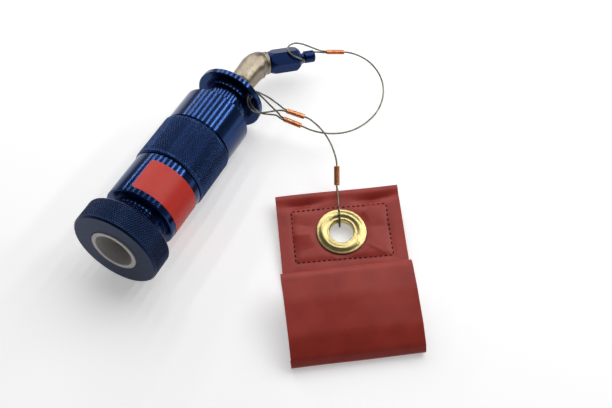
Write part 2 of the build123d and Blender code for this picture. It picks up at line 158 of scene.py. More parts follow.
@dataclass(frozen=True)
class AnodisedAluminium:
    """Turned aluminium under a dyed oxide layer: dark in the shade, blue where a lamp shows."""

    name: str = "blue anodised aluminium"
    dye: str = "#1f3259"
    worn_dye: str = "#263c67"
    roughness: float = 0.27
    anisotropy: float = 0.0
    anisotropic_turn: float = 0.25
    cloud_mm: float = 9.0
    swell_depth_mm: float = 0.004

    def build(self) -> bpy.types.Material:
        """Builds the dyed metal: its turning marks are too fine to see, but spread a lamp."""
        material, tree, shader = new_material(self.name)
        place = add_node(tree, "ShaderNodeTexCoord")
        cloud = add_node(tree, "ShaderNodeTexNoise",
                         {"Scale": 1 / (self.cloud_mm * MM), "Detail": 3.0, "Roughness": 0.55},
                         {"Vector": place.outputs["Object"]})
        colour = add_node(tree, "ShaderNodeMix", {"data_type": "RGBA"},
                          {"Factor": cloud.outputs["Fac"]})
        colour.inputs[6].default_value = linear(self.dye)
        colour.inputs[7].default_value = linear(self.worn_dye)
        tree.links.new(colour.outputs[2], shader.inputs["Base Color"])
        tree.links.new(fine_bump(tree, cloud.outputs["Fac"], self.swell_depth_mm),
                       shader.inputs["Normal"])
        shader.inputs["Metallic"].default_value = 1.0
        shader.inputs["Roughness"].default_value = self.roughness
        shader.inputs["Anisotropic"].default_value = self.anisotropy
        if self.anisotropy:
            tangent = add_node(tree, "ShaderNodeTangent", {"direction_type": "RADIAL", "axis": "X"})
            tree.links.new(tangent.outputs["Tangent"], shader.inputs["Tangent"])
            shader.inputs["Anisotropic Rotation"].default_value = self.anisotropic_turn
        return material


@dataclass(frozen=True)
class SatinPolymer:
    """Turned acetal or nylon: pale, with a soft sheen."""

    name: str = "light grey acetal"
    colour: str = "#dfdcd7"
    shade: str = "#d0cdc8"
    roughness: float = 0.42
    grain_mm: float = 1.2

    def build(self) -> bpy.types.Material:
        """Builds the polymer with a faint cloud in its colour."""
        material, tree, shader = new_material(self.name)
        place = add_node(tree, "ShaderNodeTexCoord")
        cloud = add_node(tree, "ShaderNodeTexNoise", {"Scale": 1 / (self.grain_mm * MM), "Detail": 2.0},
                         {"Vector": place.outputs["Object"]})
        ramp = add_node(tree, "ShaderNodeValToRGB", None, {"Fac": cloud.outputs["Fac"]})
        ramp.color_ramp.elements[0].color = linear(self.shade)
        ramp.color_ramp.elements[1].color = linear(self.colour)
        tree.links.new(ramp.outputs["Color"], shader.inputs["Base Color"])
        tree.links.new(fine_bump(tree, cloud.outputs["Fac"], 0.01), shader.inputs["Normal"])
        shader.inputs["Roughness"].default_value = self.roughness
        shader.inputs["IOR"].default_value = 1.48
        return material


@dataclass(frozen=True)
class MattFilm:
    """Calendered vinyl label stock: an even bright red with a matt face that spreads a lamp."""

    name: str = "matt red vinyl film"
    colour: str = "#d02e20"
    shade: str = "#c3281b"
    roughness: float = 0.42
    ripple_mm: float = 6.0

    def build(self) -> bpy.types.Material:
        """Builds the film with the faint ripple of a label stuck by hand."""
        material, tree, shader = new_material(self.name)
        place = add_node(tree, "ShaderNodeTexCoord")
        ripple = add_node(tree, "ShaderNodeTexNoise", {"Scale": 1 / (self.ripple_mm * MM)},
                          {"Vector": place.outputs["Object"]})
        ramp = add_node(tree, "ShaderNodeValToRGB", None, {"Fac": ripple.outputs["Fac"]})
        ramp.color_ramp.elements[0].color = linear(self.shade)
        ramp.color_ramp.elements[1].color = linear(self.colour)
        tree.links.new(ramp.outputs["Color"], shader.inputs["Base Color"])
        tree.links.new(fine_bump(tree, ripple.outputs["Fac"], 0.05), shader.inputs["Normal"])
        shader.inputs["Roughness"].default_value = self.roughness
        shader.inputs["Specular IOR Level"].default_value = 0.35
        return material


@dataclass(frozen=True)
class BareMetal:
    """A bare metal with fine scratches; each use says which metal and how it was made."""

    name: str
    bright: str
    dull: str
    roughness: float
    grain_mm: float = 0.5
    grain_depth_mm: float = 0.01
    patch_mm: float = 4.0
    roughness_spread: float = 0.02

    def build(self) -> bpy.types.Material:
        """Builds the metal: patches of duller skin and a fine grain that breaks its shine."""
        material, tree, shader = new_material(self.name)
        place = add_node(tree, "ShaderNodeTexCoord")
        patches = add_node(tree, "ShaderNodeTexNoise",
                           {"Scale": 1 / (self.patch_mm * MM), "Detail": 5.0},
                           {"Vector": place.outputs["Object"]})
        ramp = add_node(tree, "ShaderNodeValToRGB", None, {"Fac": patches.outputs["Fac"]})
        ramp.color_ramp.elements[0].position = 0.35
        ramp.color_ramp.elements[0].color = linear(self.dull)
        ramp.color_ramp.elements[1].position = 0.65
        ramp.color_ramp.elements[1].color = linear(self.bright)
        tree.links.new(ramp.outputs["Color"], shader.inputs["Base Color"])
        grain = add_node(tree, "ShaderNodeTexNoise", {"Scale": 1 / (self.grain_mm * MM), "Detail": 4.0},
                         {"Vector": place.outputs["Object"]})
        spread = add_node(tree, "ShaderNodeMapRange",
                          {"To Min": self.roughness - self.roughness_spread,
                           "To Max": self.roughness + self.roughness_spread},
                          {"Value": patches.outputs["Fac"]})
        tree.links.new(spread.outputs["Result"], shader.inputs["Roughness"])
        tree.links.new(fine_bump(tree, grain.outputs["Fac"], self.grain_depth_mm),
                       shader.inputs["Normal"])
        shader.inputs["Metallic"].default_value = 1.0
        return material


@dataclass(frozen=True)
class CoatedCloth:
    """Vinyl laid on woven nylon: a soft gloss over a fine weave, darker in its creases."""

    name: str = "red vinyl coated nylon"
    colour: str = "#a6352a"
    shade: str = "#932a20"
    roughness: float = 0.44
    thread_mm: float = 0.6
    weave_depth_mm: float = 0.03

    def build(self) -> bpy.types.Material:
        """Builds the coating; the weave is drawn a little coarser than the real thread."""
        material, tree, shader = new_material(self.name)
        place = add_node(tree, "ShaderNodeTexCoord")
        cloud = add_node(tree, "ShaderNodeTexNoise", {"Scale": 1 / (14 * MM), "Detail": 6.0},
                         {"Vector": place.outputs["Object"]})
        ramp = add_node(tree, "ShaderNodeValToRGB", None, {"Fac": cloud.outputs["Fac"]})
        ramp.color_ramp.elements[0].position = 0.3
        ramp.color_ramp.elements[0].color = linear(self.shade)
        ramp.color_ramp.elements[1].position = 0.7
        ramp.color_ramp.elements[1].color = linear(self.colour)
        tree.links.new(ramp.outputs["Color"], shader.inputs["Base Color"])
        weave = add_node(tree, "ShaderNodeTexVoronoi", {"Scale": 1 / (self.thread_mm * MM)},
                         {"Vector": place.outputs["Object"]})
        tree.links.new(fine_bump(tree, weave.outputs["Distance"], self.weave_depth_mm),
                       shader.inputs["Normal"])
        shader.inputs["Roughness"].default_value = self.roughness
        shader.inputs["IOR"].default_value = 1.52
        shader.inputs["Specular IOR Level"].default_value = 0.32
        return material


@dataclass(frozen=True)
class MattRubber:
    """Moulded nitrile rubber: nearly black and dull."""

    name: str = "black nitrile rubber"
    colour: str = "#161616"
    roughness: float = 0.75

    def build(self) -> bpy.types.Material:
        """Builds the rubber with the faint grain of its mould."""
        material, tree, shader = new_material(self.name)
        grain = add_node(tree, "ShaderNodeTexNoise", {"Scale": 1 / (0.5 * MM)})
        tree.links.new(fine_bump(tree, grain.outputs["Fac"], 0.02), shader.inputs["Normal"])
        shader.inputs["Base Color"].default_value = linear(self.colour)
        shader.inputs["Roughness"].default_value = self.roughness
        return material


@dataclass
class Finishes:
    """Every finish of the adaptor, built once."""

    turned: bpy.types.Material = field(
        default_factory=lambda: AnodisedAluminium(
            name="turned blue anodised aluminium", roughness=0.19, anisotropy=0.75).build())
    knurled: bpy.types.Material = field(
        default_factory=lambda: AnodisedAluminium(
            name="knurled blue anodised aluminium", roughness=0.25).build())
    # The nut takes a darker dye than the barrel as painted shade: it stands in for the shadowed table that the
    # nut's face mirrors.
    nut_painted_shade: bpy.types.Material = field(
        default_factory=lambda: AnodisedAluminium(
            name="handled blue anodised aluminium", dye="#17233e", worn_dye="#1e2d4b",
            roughness=0.38).build())
    milled: bpy.types.Material = field(
        default_factory=lambda: AnodisedAluminium(
            name="milled blue anodised aluminium", dye="#1a2a50", worn_dye="#21335c",
            roughness=0.28).build())
    polymer: bpy.types.Material = field(default_factory=lambda: SatinPolymer().build())
    rubber: bpy.types.Material = field(default_factory=lambda: MattRubber().build())
    film: bpy.types.Material = field(default_factory=lambda: MattFilm().build())
    forged: bpy.types.Material = field(
        default_factory=lambda: BareMetal(
            "forged nickel alloy", "#978d7c", "#857b6c", 0.33, grain_depth_mm=0.002).build())
    copper: bpy.types.Material = field(
        default_factory=lambda: BareMetal("drawn copper", "#dc9a70", "#bd7449", 0.36, grain_depth_mm=0.004).build())
    rope: bpy.types.Material = field(
        default_factory=lambda: BareMetal("stranded steel wire", "#8d8a78", "#5d5a4a", 0.42).build())
    brass: bpy.types.Material = field(
        default_factory=lambda: BareMetal(
            "pressed brass", "#cdbd84", "#bfae74", 0.3, grain_depth_mm=0.001).build())
    cloth: bpy.types.Material = field(default_factory=lambda: CoatedCloth().build())
    thread: bpy.types.Material = field(
        default_factory=lambda: CoatedCloth(
            name="dark red nylon thread", colour="#3d0d0a", shade="#2c0806", roughness=0.7).build())


def joint(name: str) -> dict[str, Any]:
    """Finds a joint of the frame by its name."""
    return next(j for j in frame["joints"] if j["name"] == name)


def mount(name: str) -> dict[str, Any]:
    """Finds a mount of the record by its name."""
    return next(m for m in frame["record"]["mounts"] if m["name"] == name)


@dataclass
class TurningAxis:
    """A line that pieces are turned about, with stations in millimetres along it."""

    origin: Vector
    along: Vector
    up: Vector = field(init=False)
    side: Vector = field(init=False)

    def __post_init__(self) -> None:
        """Works out the two directions square to the line."""
        self.along = self.along.normalized()
        level = Vector((0, 0, 1))
        self.up = (level - self.along * level.dot(self.along)).normalized()
        self.side = self.along.cross(self.up)

    def point(self, station: float, radius: float, angle: float) -> Vector:
        """Places a point.

        Args:
            station: Distance along the line, in millimetres.
            radius: Distance from the line, in millimetres.
            angle: Turn from straight up towards the side, in radians.

        Returns:
            The point in the frame, in metres.
        """
        ray = self.up * math.cos(angle) + self.side * math.sin(angle)
        return self.origin + (self.along * station + ray * radius) * MM


def mesh_object(name: str, vertices: Iterable[Vector], faces: Iterable[Sequence[int]],
                material: bpy.types.Material, smooth: bool = True) -> bpy.types.Object:
    """Makes an object of vertices and faces.

    Args:
        name: The piece's name.
        vertices: Its points, in metres.
        faces: Its faces, as indices of points.
        material: Its finish.
        smooth: Whether its faces are shaded smooth.

    Returns:
        The linked object, its normals facing outwards.
    """
    mesh = bpy.data.meshes.new(name)
    mesh.from_pydata([tuple(v) for v in vertices], [], [tuple(f) for f in faces])
    work = bmesh.new()
    work.from_mesh(mesh)
    bmesh.ops.recalc_face_normals(work, faces=work.faces)
    for face in work.faces:
        face.smooth = smooth
    work.to_mesh(mesh)
    work.free()
    mesh.materials.append(material)
    piece = bpy.data.objects.new(name, mesh)
    bpy.context.scene.collection.objects.link(piece)
    return piece


def settle(piece: bpy.types.Object, body: Optional[Body], slot: Slot, *replaced: str) -> None:
    """Puts a piece on its body and hides what it stands for.

    Args:
        piece: The finished piece.
        body: The CAD body that it rides on, or None for one that bends between two bodies.
        slot: The record's material slot; not used.
        replaced: The CAD nodes that it stands for.
    """
    if body is not None:
        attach(piece, body.value)
    if replaced:
        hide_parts(*replaced)
    LOG.info("%s rides on %s", piece.name, body.value if body else "two bodies")


def eased(profile: Profile, radius: float = 0.25) -> Profile:
    """Rounds each corner of a closed profile with two points.

    Args:
        profile: Station and radius of each corner, in millimetres.
        radius: How far from a corner its rounding starts.

    Returns:
        The profile with small bevelled corners.
    """
    points: Profile = []
    count = len(profile)
    for i, (x, r) in enumerate(profile):
        for x2, r2 in (profile[i - 1], profile[(i + 1) % count]):
            length = math.hypot(x2 - x, r2 - r)
            step = min(radius, length * 0.4) / length
            points.append((x + (x2 - x) * step, r + (r2 - r) * step))
    return points


@dataclass
class TurnedPiece:
    """A piece turned on a lathe, from its closed outline of stations and radii."""

    name: str
    node: str
    body: Body
    slot: Slot
    outline: Profile
    ease: float = 0.25
    segments: int = 192

    def build(self, axis: TurningAxis, material: bpy.types.Material) -> bpy.types.Object:
        """Turns the outline about the axis.

        Args:
            axis: The line that it is turned about.
            material: Its finish.

        Returns:
            The piece, settled on its body.
        """
        ring = eased(self.outline, self.ease)
        vertices = [axis.point(x, r, 2 * math.pi * k / self.segments)
                    for k in range(self.segments) for x, r in ring]
        count = len(ring)
        faces = []
        for k in range(self.segments):
            base, ahead = k * count, ((k + 1) % self.segments) * count
            for i in range(count):
                j = (i + 1) % count
                faces.append((base + i, base + j, ahead + j, ahead + i))
        piece = mesh_object(self.name, vertices, faces, material)
        mark_sharp(piece, 28)
        settle(piece, self.body, self.slot, self.node)
        return piece


def mark_sharp(piece: bpy.types.Object, degrees: float) -> None:
    """Keeps edges over an angle sharp in smooth shading."""
    work = bmesh.new()
    work.from_mesh(piece.data)
    for edge in work.edges:
        if len(edge.link_faces) == 2 and edge.calc_face_angle(0) > math.radians(degrees):
            edge.smooth = False
    work.to_mesh(piece.data)
    work.free()


@dataclass
class KnurledPiece:
    """A turned ring whose outside is pressed with a diamond knurl."""

    name: str
    node: str
    body: Body
    outer: float
    start: float
    end: float
    chamfer: float
    inside: Profile
    pitch: float = 1.8
    depth: float = 0.46
    diamond_angle: float = 30.0

    def build(self, axis: TurningAxis, material: bpy.types.Material) -> bpy.types.Object:
        """Builds the ring; its diamonds are pyramids between two sets of crossing grooves.

        Args:
            axis: The line that it is turned about.
            material: Its finish.

        Returns:
            The piece, settled on its body.
        """
        teeth = round(2 * math.pi * self.outer / self.pitch)
        around = 2 * teeth
        row = self.pitch / (2 * math.tan(math.radians(self.diamond_angle)))
        rows = round((self.end - self.start - 2 * self.chamfer) / row)
        row = (self.end - self.start - 2 * self.chamfer) / rows
        first = self.start + self.chamfer
        vertices, faces = [], []
        for j in range(rows + 1):
            for k in range(around):
                valley = (j + k) % 2 == 0
                edge = j in (0, rows)
                cut = self.depth * (0.6 if edge else 1.0) if valley else 0.0
                vertices.append(axis.point(first + j * row, self.outer - cut,
                                           2 * math.pi * k / around))
        for j in range(rows):
            for k in range(around):
                a, b = j * around + k, j * around + (k + 1) % around
                c, d = a + around, b + around
                if (j + k) % 2 == 0:
                    faces += [(a, b, d), (a, d, c)]
                else:
                    faces += [(a, b, c), (b, d, c)]
        front_ring = list(range(around))
        rear_ring = [rows * around + k for k in range(around)]
        loops = [front_ring]
        for x, r in self.inside:
            loops.append(list(range(len(vertices), len(vertices) + around)))
            vertices += [axis.point(x, r, 2 * math.pi * k / around) for k in range(around)]
        loops.append(rear_ring)
        for one, two in zip(loops, loops[1:]):
            for k in range(around):
                nxt = (k + 1) % around
                faces.append((one[k], one[nxt], two[nxt], two[k]))
        piece = mesh_object(self.name, vertices, faces, material)
        mark_sharp(piece, 8)
        settle(piece, self.body, Slot.KNURLED, self.node)
        return piece


def mouth_axis() -> TurningAxis:
    """The adaptor's own axis, from its mouth towards its hose port."""
    turn = joint("nut_turn")
    return TurningAxis(Vector(turn["pos_m"]), Vector(turn["axis"]))


def ground_point(place: Point) -> Vector:
    """Moves a point of the frame under the mouth, in millimetres, to the row frame."""
    mouth = joint("nut_turn")["pos_m"]
    return Vector((mouth[0], mouth[1], 0)) + Vector(place) * MM


@dataclass
class CapFrame:
    """The pressure cap's own frame: out along its thread, towards the viewer, and down."""

    stub_end: float = 21.6
    origin: Vector = field(init=False)
    out: Vector = field(init=False)
    across: Vector = field(init=False)
    down: Vector = field(init=False)

    def __post_init__(self) -> None:
        """Reads the frame from the cap's joint and the hose port's mount."""
        along = Vector(joint("nut_turn")["axis"]).normalized()
        self.out = Vector(joint("cap_off")["axis"]).normalized()
        bend = (self.out - along * self.out.dot(along)).normalized()
        self.down = along.cross(bend).normalized()
        self.across = self.down.cross(self.out)
        self.origin = Vector(mount("hose_port")["pos_m"]) - self.out * self.stub_end * MM

    def point(self, place: Point) -> Vector:
        """Places a point given in millimetres."""
        x, y, z = place
        return self.origin + (self.out * x + self.across * y + self.down * z) * MM


@dataclass
class StreamerFrame:
    """The streamer's own frame: down its length, across it, and up from the table."""

    place: tuple[float, float] = (115.6, -96.1)
    heading: float = 212.4

    def point(self, station: float, across: float, height: float) -> Vector:
        """Places a point given in millimetres."""
        turn = math.radians(self.heading)
        x = self.place[0] + station * math.cos(turn) - across * math.sin(turn)
        y = self.place[1] + station * math.sin(turn) + across * math.cos(turn)
        return ground_point((x, y, height))

    def direction(self, station: float, across: float, height: float) -> Vector:
        """Turns a direction of this frame to the row frame."""
        return (self.point(station, across, height) - self.point(0, 0, 0)).normalized()


@dataclass
class Sleeve:
    """A copper crimp sleeve on a wire rope, from its start towards its end point."""

    name: str
    start: Vector
    toward: Vector
    body: Body
    length: float = 13.0
    width: float = 3.8
    height: float = 3.0
    rings: int = 60
    around: int = 40
    crimp_depth: float = 0.05
    strand_spacing: float = 1.5
    lead: float = 2.6

    @property
    def heading(self) -> Vector:
        """The direction from its start to its far face."""
        return (self.toward - self.start).normalized()

    def axes(self) -> tuple[Vector, Vector]:
        """Its wide and its thin direction."""
        side = self.heading.cross(Vector((0, 0, 1))).normalized()
        return side, self.heading.cross(side)

    def face_point(self, across: tuple[float, float], along: float) -> Vector:
        """Places a point by millimetres across it and along it."""
        side, up = self.axes()
        return self.start + (side * across[0] + up * across[1] + self.heading * along) * MM

    def strand(self, across: tuple[float, float], along: float, outwards: int) -> list[Vector]:
        """A strand's end on a face and its short straight lead away from it."""
        return [self.face_point(across, along),
                self.face_point(across, along + outwards * self.lead)]

    def build(self, material: bpy.types.Material) -> bpy.types.Object:
        """Builds the sleeve: an oval tube with a waist, dented by its crimping tool.

        Args:
            material: Its finish.

        Returns:
            The piece, settled on its body.
        """
        side, up = self.axes()
        vertices: list[Vector] = []
        faces: list[Sequence[int]] = []
        for j in range(self.rings + 1):
            share = j / self.rings
            end = min(share, 1 - share) * self.length
            rounding = 1 - 0.16 * max(0.0, 1 - end / 0.5) ** 2
            dent = 1 - self.crimp_depth * (0.5 - 0.5 * math.cos(share * 2 * math.pi * 4))
            for k in range(self.around):
                angle = 2 * math.pi * k / self.around
                waist = 1 - 0.09 * math.exp(-(math.cos(angle) / 0.3) ** 2)
                wide = self.width / 2 * math.cos(angle) * rounding
                thin = self.height / 2 * math.sin(angle) * rounding * dent * waist
                vertices.append(self.start + (
                    side * wide + up * thin + self.heading * share * self.length) * MM)
        for j in range(self.rings):
            for k in range(self.around):
                a, b = j * self.around + k, j * self.around + (k + 1) % self.around
                faces.append((a, b, b + self.around, a + self.around))
        faces.append(list(range(self.around)))
        faces.append([self.rings * self.around + k for k in range(self.around)])
        piece = mesh_object(self.name + "_crimped", vertices, faces, material)
        mark_sharp(piece, 50)
        settle(piece, self.body, Slot.SLEEVE, self.name)
        return piece


@dataclass
class WireRope:
    """A length of stranded wire rope along its route, which CAD holds as a plain tube."""

    node: str
    route: list[Vector]
    body: Optional[Body]
    diameter: float = 1.2
    strands: int = 6
    lay_length: float = 7.5
    around: int = 24
    spacing: float = 0.35

    def line(self) -> list[Vector]:
        """Reads evenly spaced points from the route's own smooth spline."""
        curve = bpy.data.curves.new(self.node + "_line", "CURVE")
        curve.dimensions = "3D"
        curve.resolution_u = 24
        spline = curve.splines.new("NURBS")
        spline.points.add(len(self.route) - 1)
        for control, place in zip(spline.points, self.route):
            control.co = (*place, 1)
        spline.order_u = 3
        spline.use_endpoint_u = True
        holder = bpy.data.objects.new(self.node + "_line", curve)
        mesh = bpy.data.meshes.new_from_object(holder)
        points = [vertex.co.copy() for vertex in mesh.vertices]
        bpy.data.meshes.remove(mesh)
        bpy.data.objects.remove(holder)
        bpy.data.curves.remove(curve)
        return self.evenly(points)

    def evenly(self, points: list[Vector]) -> list[Vector]:
        """Spaces points evenly along a line.

        Args:
            points: The line's points.

        Returns:
            Points about the wanted spacing apart, with both ends kept.
        """
        lengths = [0.0]
        for one, two in zip(points, points[1:]):
            lengths.append(lengths[-1] + (two - one).length)
        count = max(2, round(lengths[-1] / (self.spacing * MM)))
        even, i = [], 0
        for k in range(count + 1):
            target = lengths[-1] * k / count
            while i < len(lengths) - 2 and lengths[i + 1] < target:
                i += 1
            share = (target - lengths[i]) / max(lengths[i + 1] - lengths[i], 1e-9)
            even.append(points[i].lerp(points[i + 1], min(max(share, 0.0), 1.0)))
        return even

    def build(self, material: bpy.types.Material) -> bpy.types.Object:
        """Args:
            material: Its finish.

        Returns:
            The piece, settled on its body.
        """
        points = self.line()
        step = (points[1] - points[0]).length
        heading = (points[1] - points[0]).normalized()
        normal = heading.orthogonal().normalized()
        vertices: list[Vector] = []
        for i, point in enumerate(points):
            ahead = points[min(i + 1, len(points) - 1)] - points[max(i - 1, 0)]
            new_heading = ahead.normalized()
            normal = heading.rotation_difference(new_heading) @ normal
            heading = new_heading
            binormal = heading.cross(normal)
            twist = 2 * math.pi * i * step / (self.lay_length * MM)
            for k in range(self.around):
                angle = 2 * math.pi * k / self.around
                lobe = abs(math.cos(self.strands / 2 * (angle - twist)))
                radius = self.diameter / 2 * (0.74 + 0.26 * lobe) * MM
                vertices.append(point + (normal * math.cos(angle)
                                         + binormal * math.sin(angle)) * radius)
        faces: list[Sequence[int]] = []
        for i in range(len(points) - 1):
            for k in range(self.around):
                a, b = i * self.around + k, i * self.around + (k + 1) % self.around
                faces.append((a, b, b + self.around, a + self.around))
        faces.append(list(range(self.around)))
        faces.append([(len(points) - 1) * self.around + k for k in range(self.around)])
        piece = mesh_object(self.node + "_rope", vertices, faces, material)
        settle(piece, self.body, Slot.WIRE, self.node)
        return piece


FERRULES = {
    "a1": ((145.9, -41.2, 22.0), (147.2, -53.0, 20.0)),
    "b1": ((150.3, -41.2, 26.0), (153.2, -53.3, 23.0)),
    "b2": ((130.1, -89.4, 15.5), (119.5, -94.7, 9.5)),
}
FERRULE_A2 = ((54.4, -0.7, -1.4), (67.0, 2.3, -2.0))
RUN_A = [
    (148.4, -60.0, 17.8), (151.5, -66.5, 14.8), (156.5, -72.8, 11.6), (163.0, -79.0, 8.8),
    (171.0, -84.5, 7.0), (180.5, -88.6, 6.2), (190.5, -91.0, 6.0), (200.5, -91.0, 6.6),
    (210.0, -88.8, 7.8), (218.6, -84.0, 9.4), (225.4, -76.6, 11.2), (229.4, -67.6, 13.2),
    (229.6, -58.4, 15.0)]
RUN_B = [
    (153.8, -59.0, 21.2), (152.4, -65.0, 19.6), (149.6, -70.9, 18.4), (145.6, -76.4, 17.9),
    (140.8, -81.4, 17.6), (135.6, -85.9, 17.0)]
FLANGE_LOOP_A = [
    (0.9, -19.2, -12.8), (-0.9, -14.6, -12.5), (-3.2, -10.6, -11.6), (-4.4, -7.0, -9.9),
    (-4.6, -3.8, -7.0), (-4.3, -1.5, -3.7), (-3.4, -0.5, -0.7), (3.4, -0.5, -0.9),
    (5.1, -3.2, -3.4), (5.2, -7.2, -6.6), (4.4, -11.6, -9.2), (3.4, -15.9, -11.0),
    (2.4, -20.0, -12.3)]
FLANGE_LOOP_B = [
    (1.8, -19.0, -8.8), (-0.8, -16.2, -8.6), (-3.6, -13.0, -8.4), (-6.3, -9.4, -8.2),
    (-7.8, -5.5, -7.0), (-7.8, -2.3, -4.2), (-6.2, -0.2, -1.0), (-3.2, 0.4, 0.6),
    (3.2, 0.2, 0.2), (5.2, -2.4, -1.7), (6.4, -5.6, -3.7), (6.9, -9.6, -5.2),
    (6.7, -13.6, -6.6), (6.2, -17.2, -7.6), (5.6, -20.6, -8.3)]
CAP_LOOP = [
    (48.6, -2.6, -2.6), (42.4, -5.2, -4.6), (36.4, -7.2, -7.0), (30.6, -7.4, -8.6),
    (25.8, -5.2, -9.4), (23.2, -1.8, -9.7), (23.6, 1.8, -9.4), (27.0, 5.0, -8.6),
    (31.2, 7.0, -7.2), (34.4, 6.8, -4.8), (35.2, 4.9, -1.2), (34.9, 3.2, 2.7),
    (34.9, -0.4, 4.2), (35.5, -3.9, 3.3), (38.6, -5.6, 2.4), (43.0, -5.0, 1.4),
    (48.6, -3.2, 0.0)]
GROMMET_LOOP = [
    (0.8, 0.9, 11.4), (7.6, 0.4, 12.6), (14.4, -0.1, 12.8), (20.4, -0.4, 11.6),
    (25.0, -0.6, 8.6), (26.2, -0.6, 4.6), (23.0, -0.4, 1.9), (17.4, -0.1, 1.6),
    (10.6, 0.3, 2.2), (4.2, 0.7, 3.9), (-0.9, 1.0, 6.6)]


@dataclass
class Lanyards:
    """Both lanyards: their sleeves, loops and runs."""

    hole_station: float = 144.6
    hole_circle: float = 20.5
    hole_angle: float = 55.0

    def sleeves(self) -> dict[str, Sleeve]:
        """Places the four crimp sleeves."""
        cap = CapFrame()
        found = {
            key: Sleeve(f"ferrule_{key}", ground_point(start), ground_point(end), Body.ADAPTOR)
            for key, (start, end) in FERRULES.items()}
        found["a2"] = Sleeve("ferrule_a2", *[cap.point(p) for p in FERRULE_A2], Body.CAP)
        return found

    def build(self, finishes: Finishes) -> None:
        """Builds the sleeves and the ropes between them.

        Args:
            finishes: The adaptor's finishes.
        """
        sleeves = self.sleeves()
        hole = mouth_axis().point(
            self.hole_station, self.hole_circle, math.radians(self.hole_angle))
        cap, strip = CapFrame(), StreamerFrame()
        flat, stacked = (0.75, 0.0), (0.0, 0.75)

        def loop(sleeve: Sleeve, across: tuple[float, float], along: float, outwards: int,
                 middle: list[Vector]) -> list[Vector]:
            """A loop's route from one strand of a sleeve back to its other strand."""
            back = sleeve.strand((-across[0], -across[1]), along, outwards)
            return sleeve.strand(across, along, outwards) + middle + back[::-1]

        def flange(steps: list[Point]) -> list[Vector]:
            """Places a flange loop's points round the lanyard hole."""
            return [hole + Vector(step) * MM for step in steps]

        a1, b1, a2, b2 = (sleeves[key] for key in ("a1", "b1", "a2", "b2"))
        far = a1.length
        ropes = [
            WireRope("lanyard_a_flange_loop", loop(a1, flat, 0, -1, flange(FLANGE_LOOP_A)),
                     Body.ADAPTOR),
            WireRope("lanyard_b_flange_loop", loop(b1, flat, 0, -1, flange(FLANGE_LOOP_B)),
                     Body.ADAPTOR),
            WireRope("lanyard_a_run", a1.strand((0, 0), far, 1)
                     + [ground_point(p) for p in RUN_A] + a2.strand((0, 0), far, 1)[::-1],
                     None),
            WireRope("lanyard_b_run", b1.strand((0, 0), far, 1)
                     + [ground_point(p) for p in RUN_B] + b2.strand((0, 0), 0, -1)[::-1],
                     Body.ADAPTOR),
            WireRope("lanyard_a_cap_loop",
                     loop(a2, flat, 0, -1, [cap.point(p) for p in CAP_LOOP[::-1]]), Body.CAP),
            WireRope("lanyard_b_grommet_loop",
                     loop(b2, stacked, far, 1, [strip.point(*p) for p in GROMMET_LOOP[::-1]]),
                     Body.ADAPTOR)]
        built = {rope.node: rope.build(finishes.rope) for rope in ropes}
        run = built["lanyard_a_run"]
        tuple(a1.face_point((0, 0), far))
        tuple(a2.face_point((0, 0), far))
        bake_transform(run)
        for sleeve in sleeves.values():
            sleeve.build(finishes.copper)


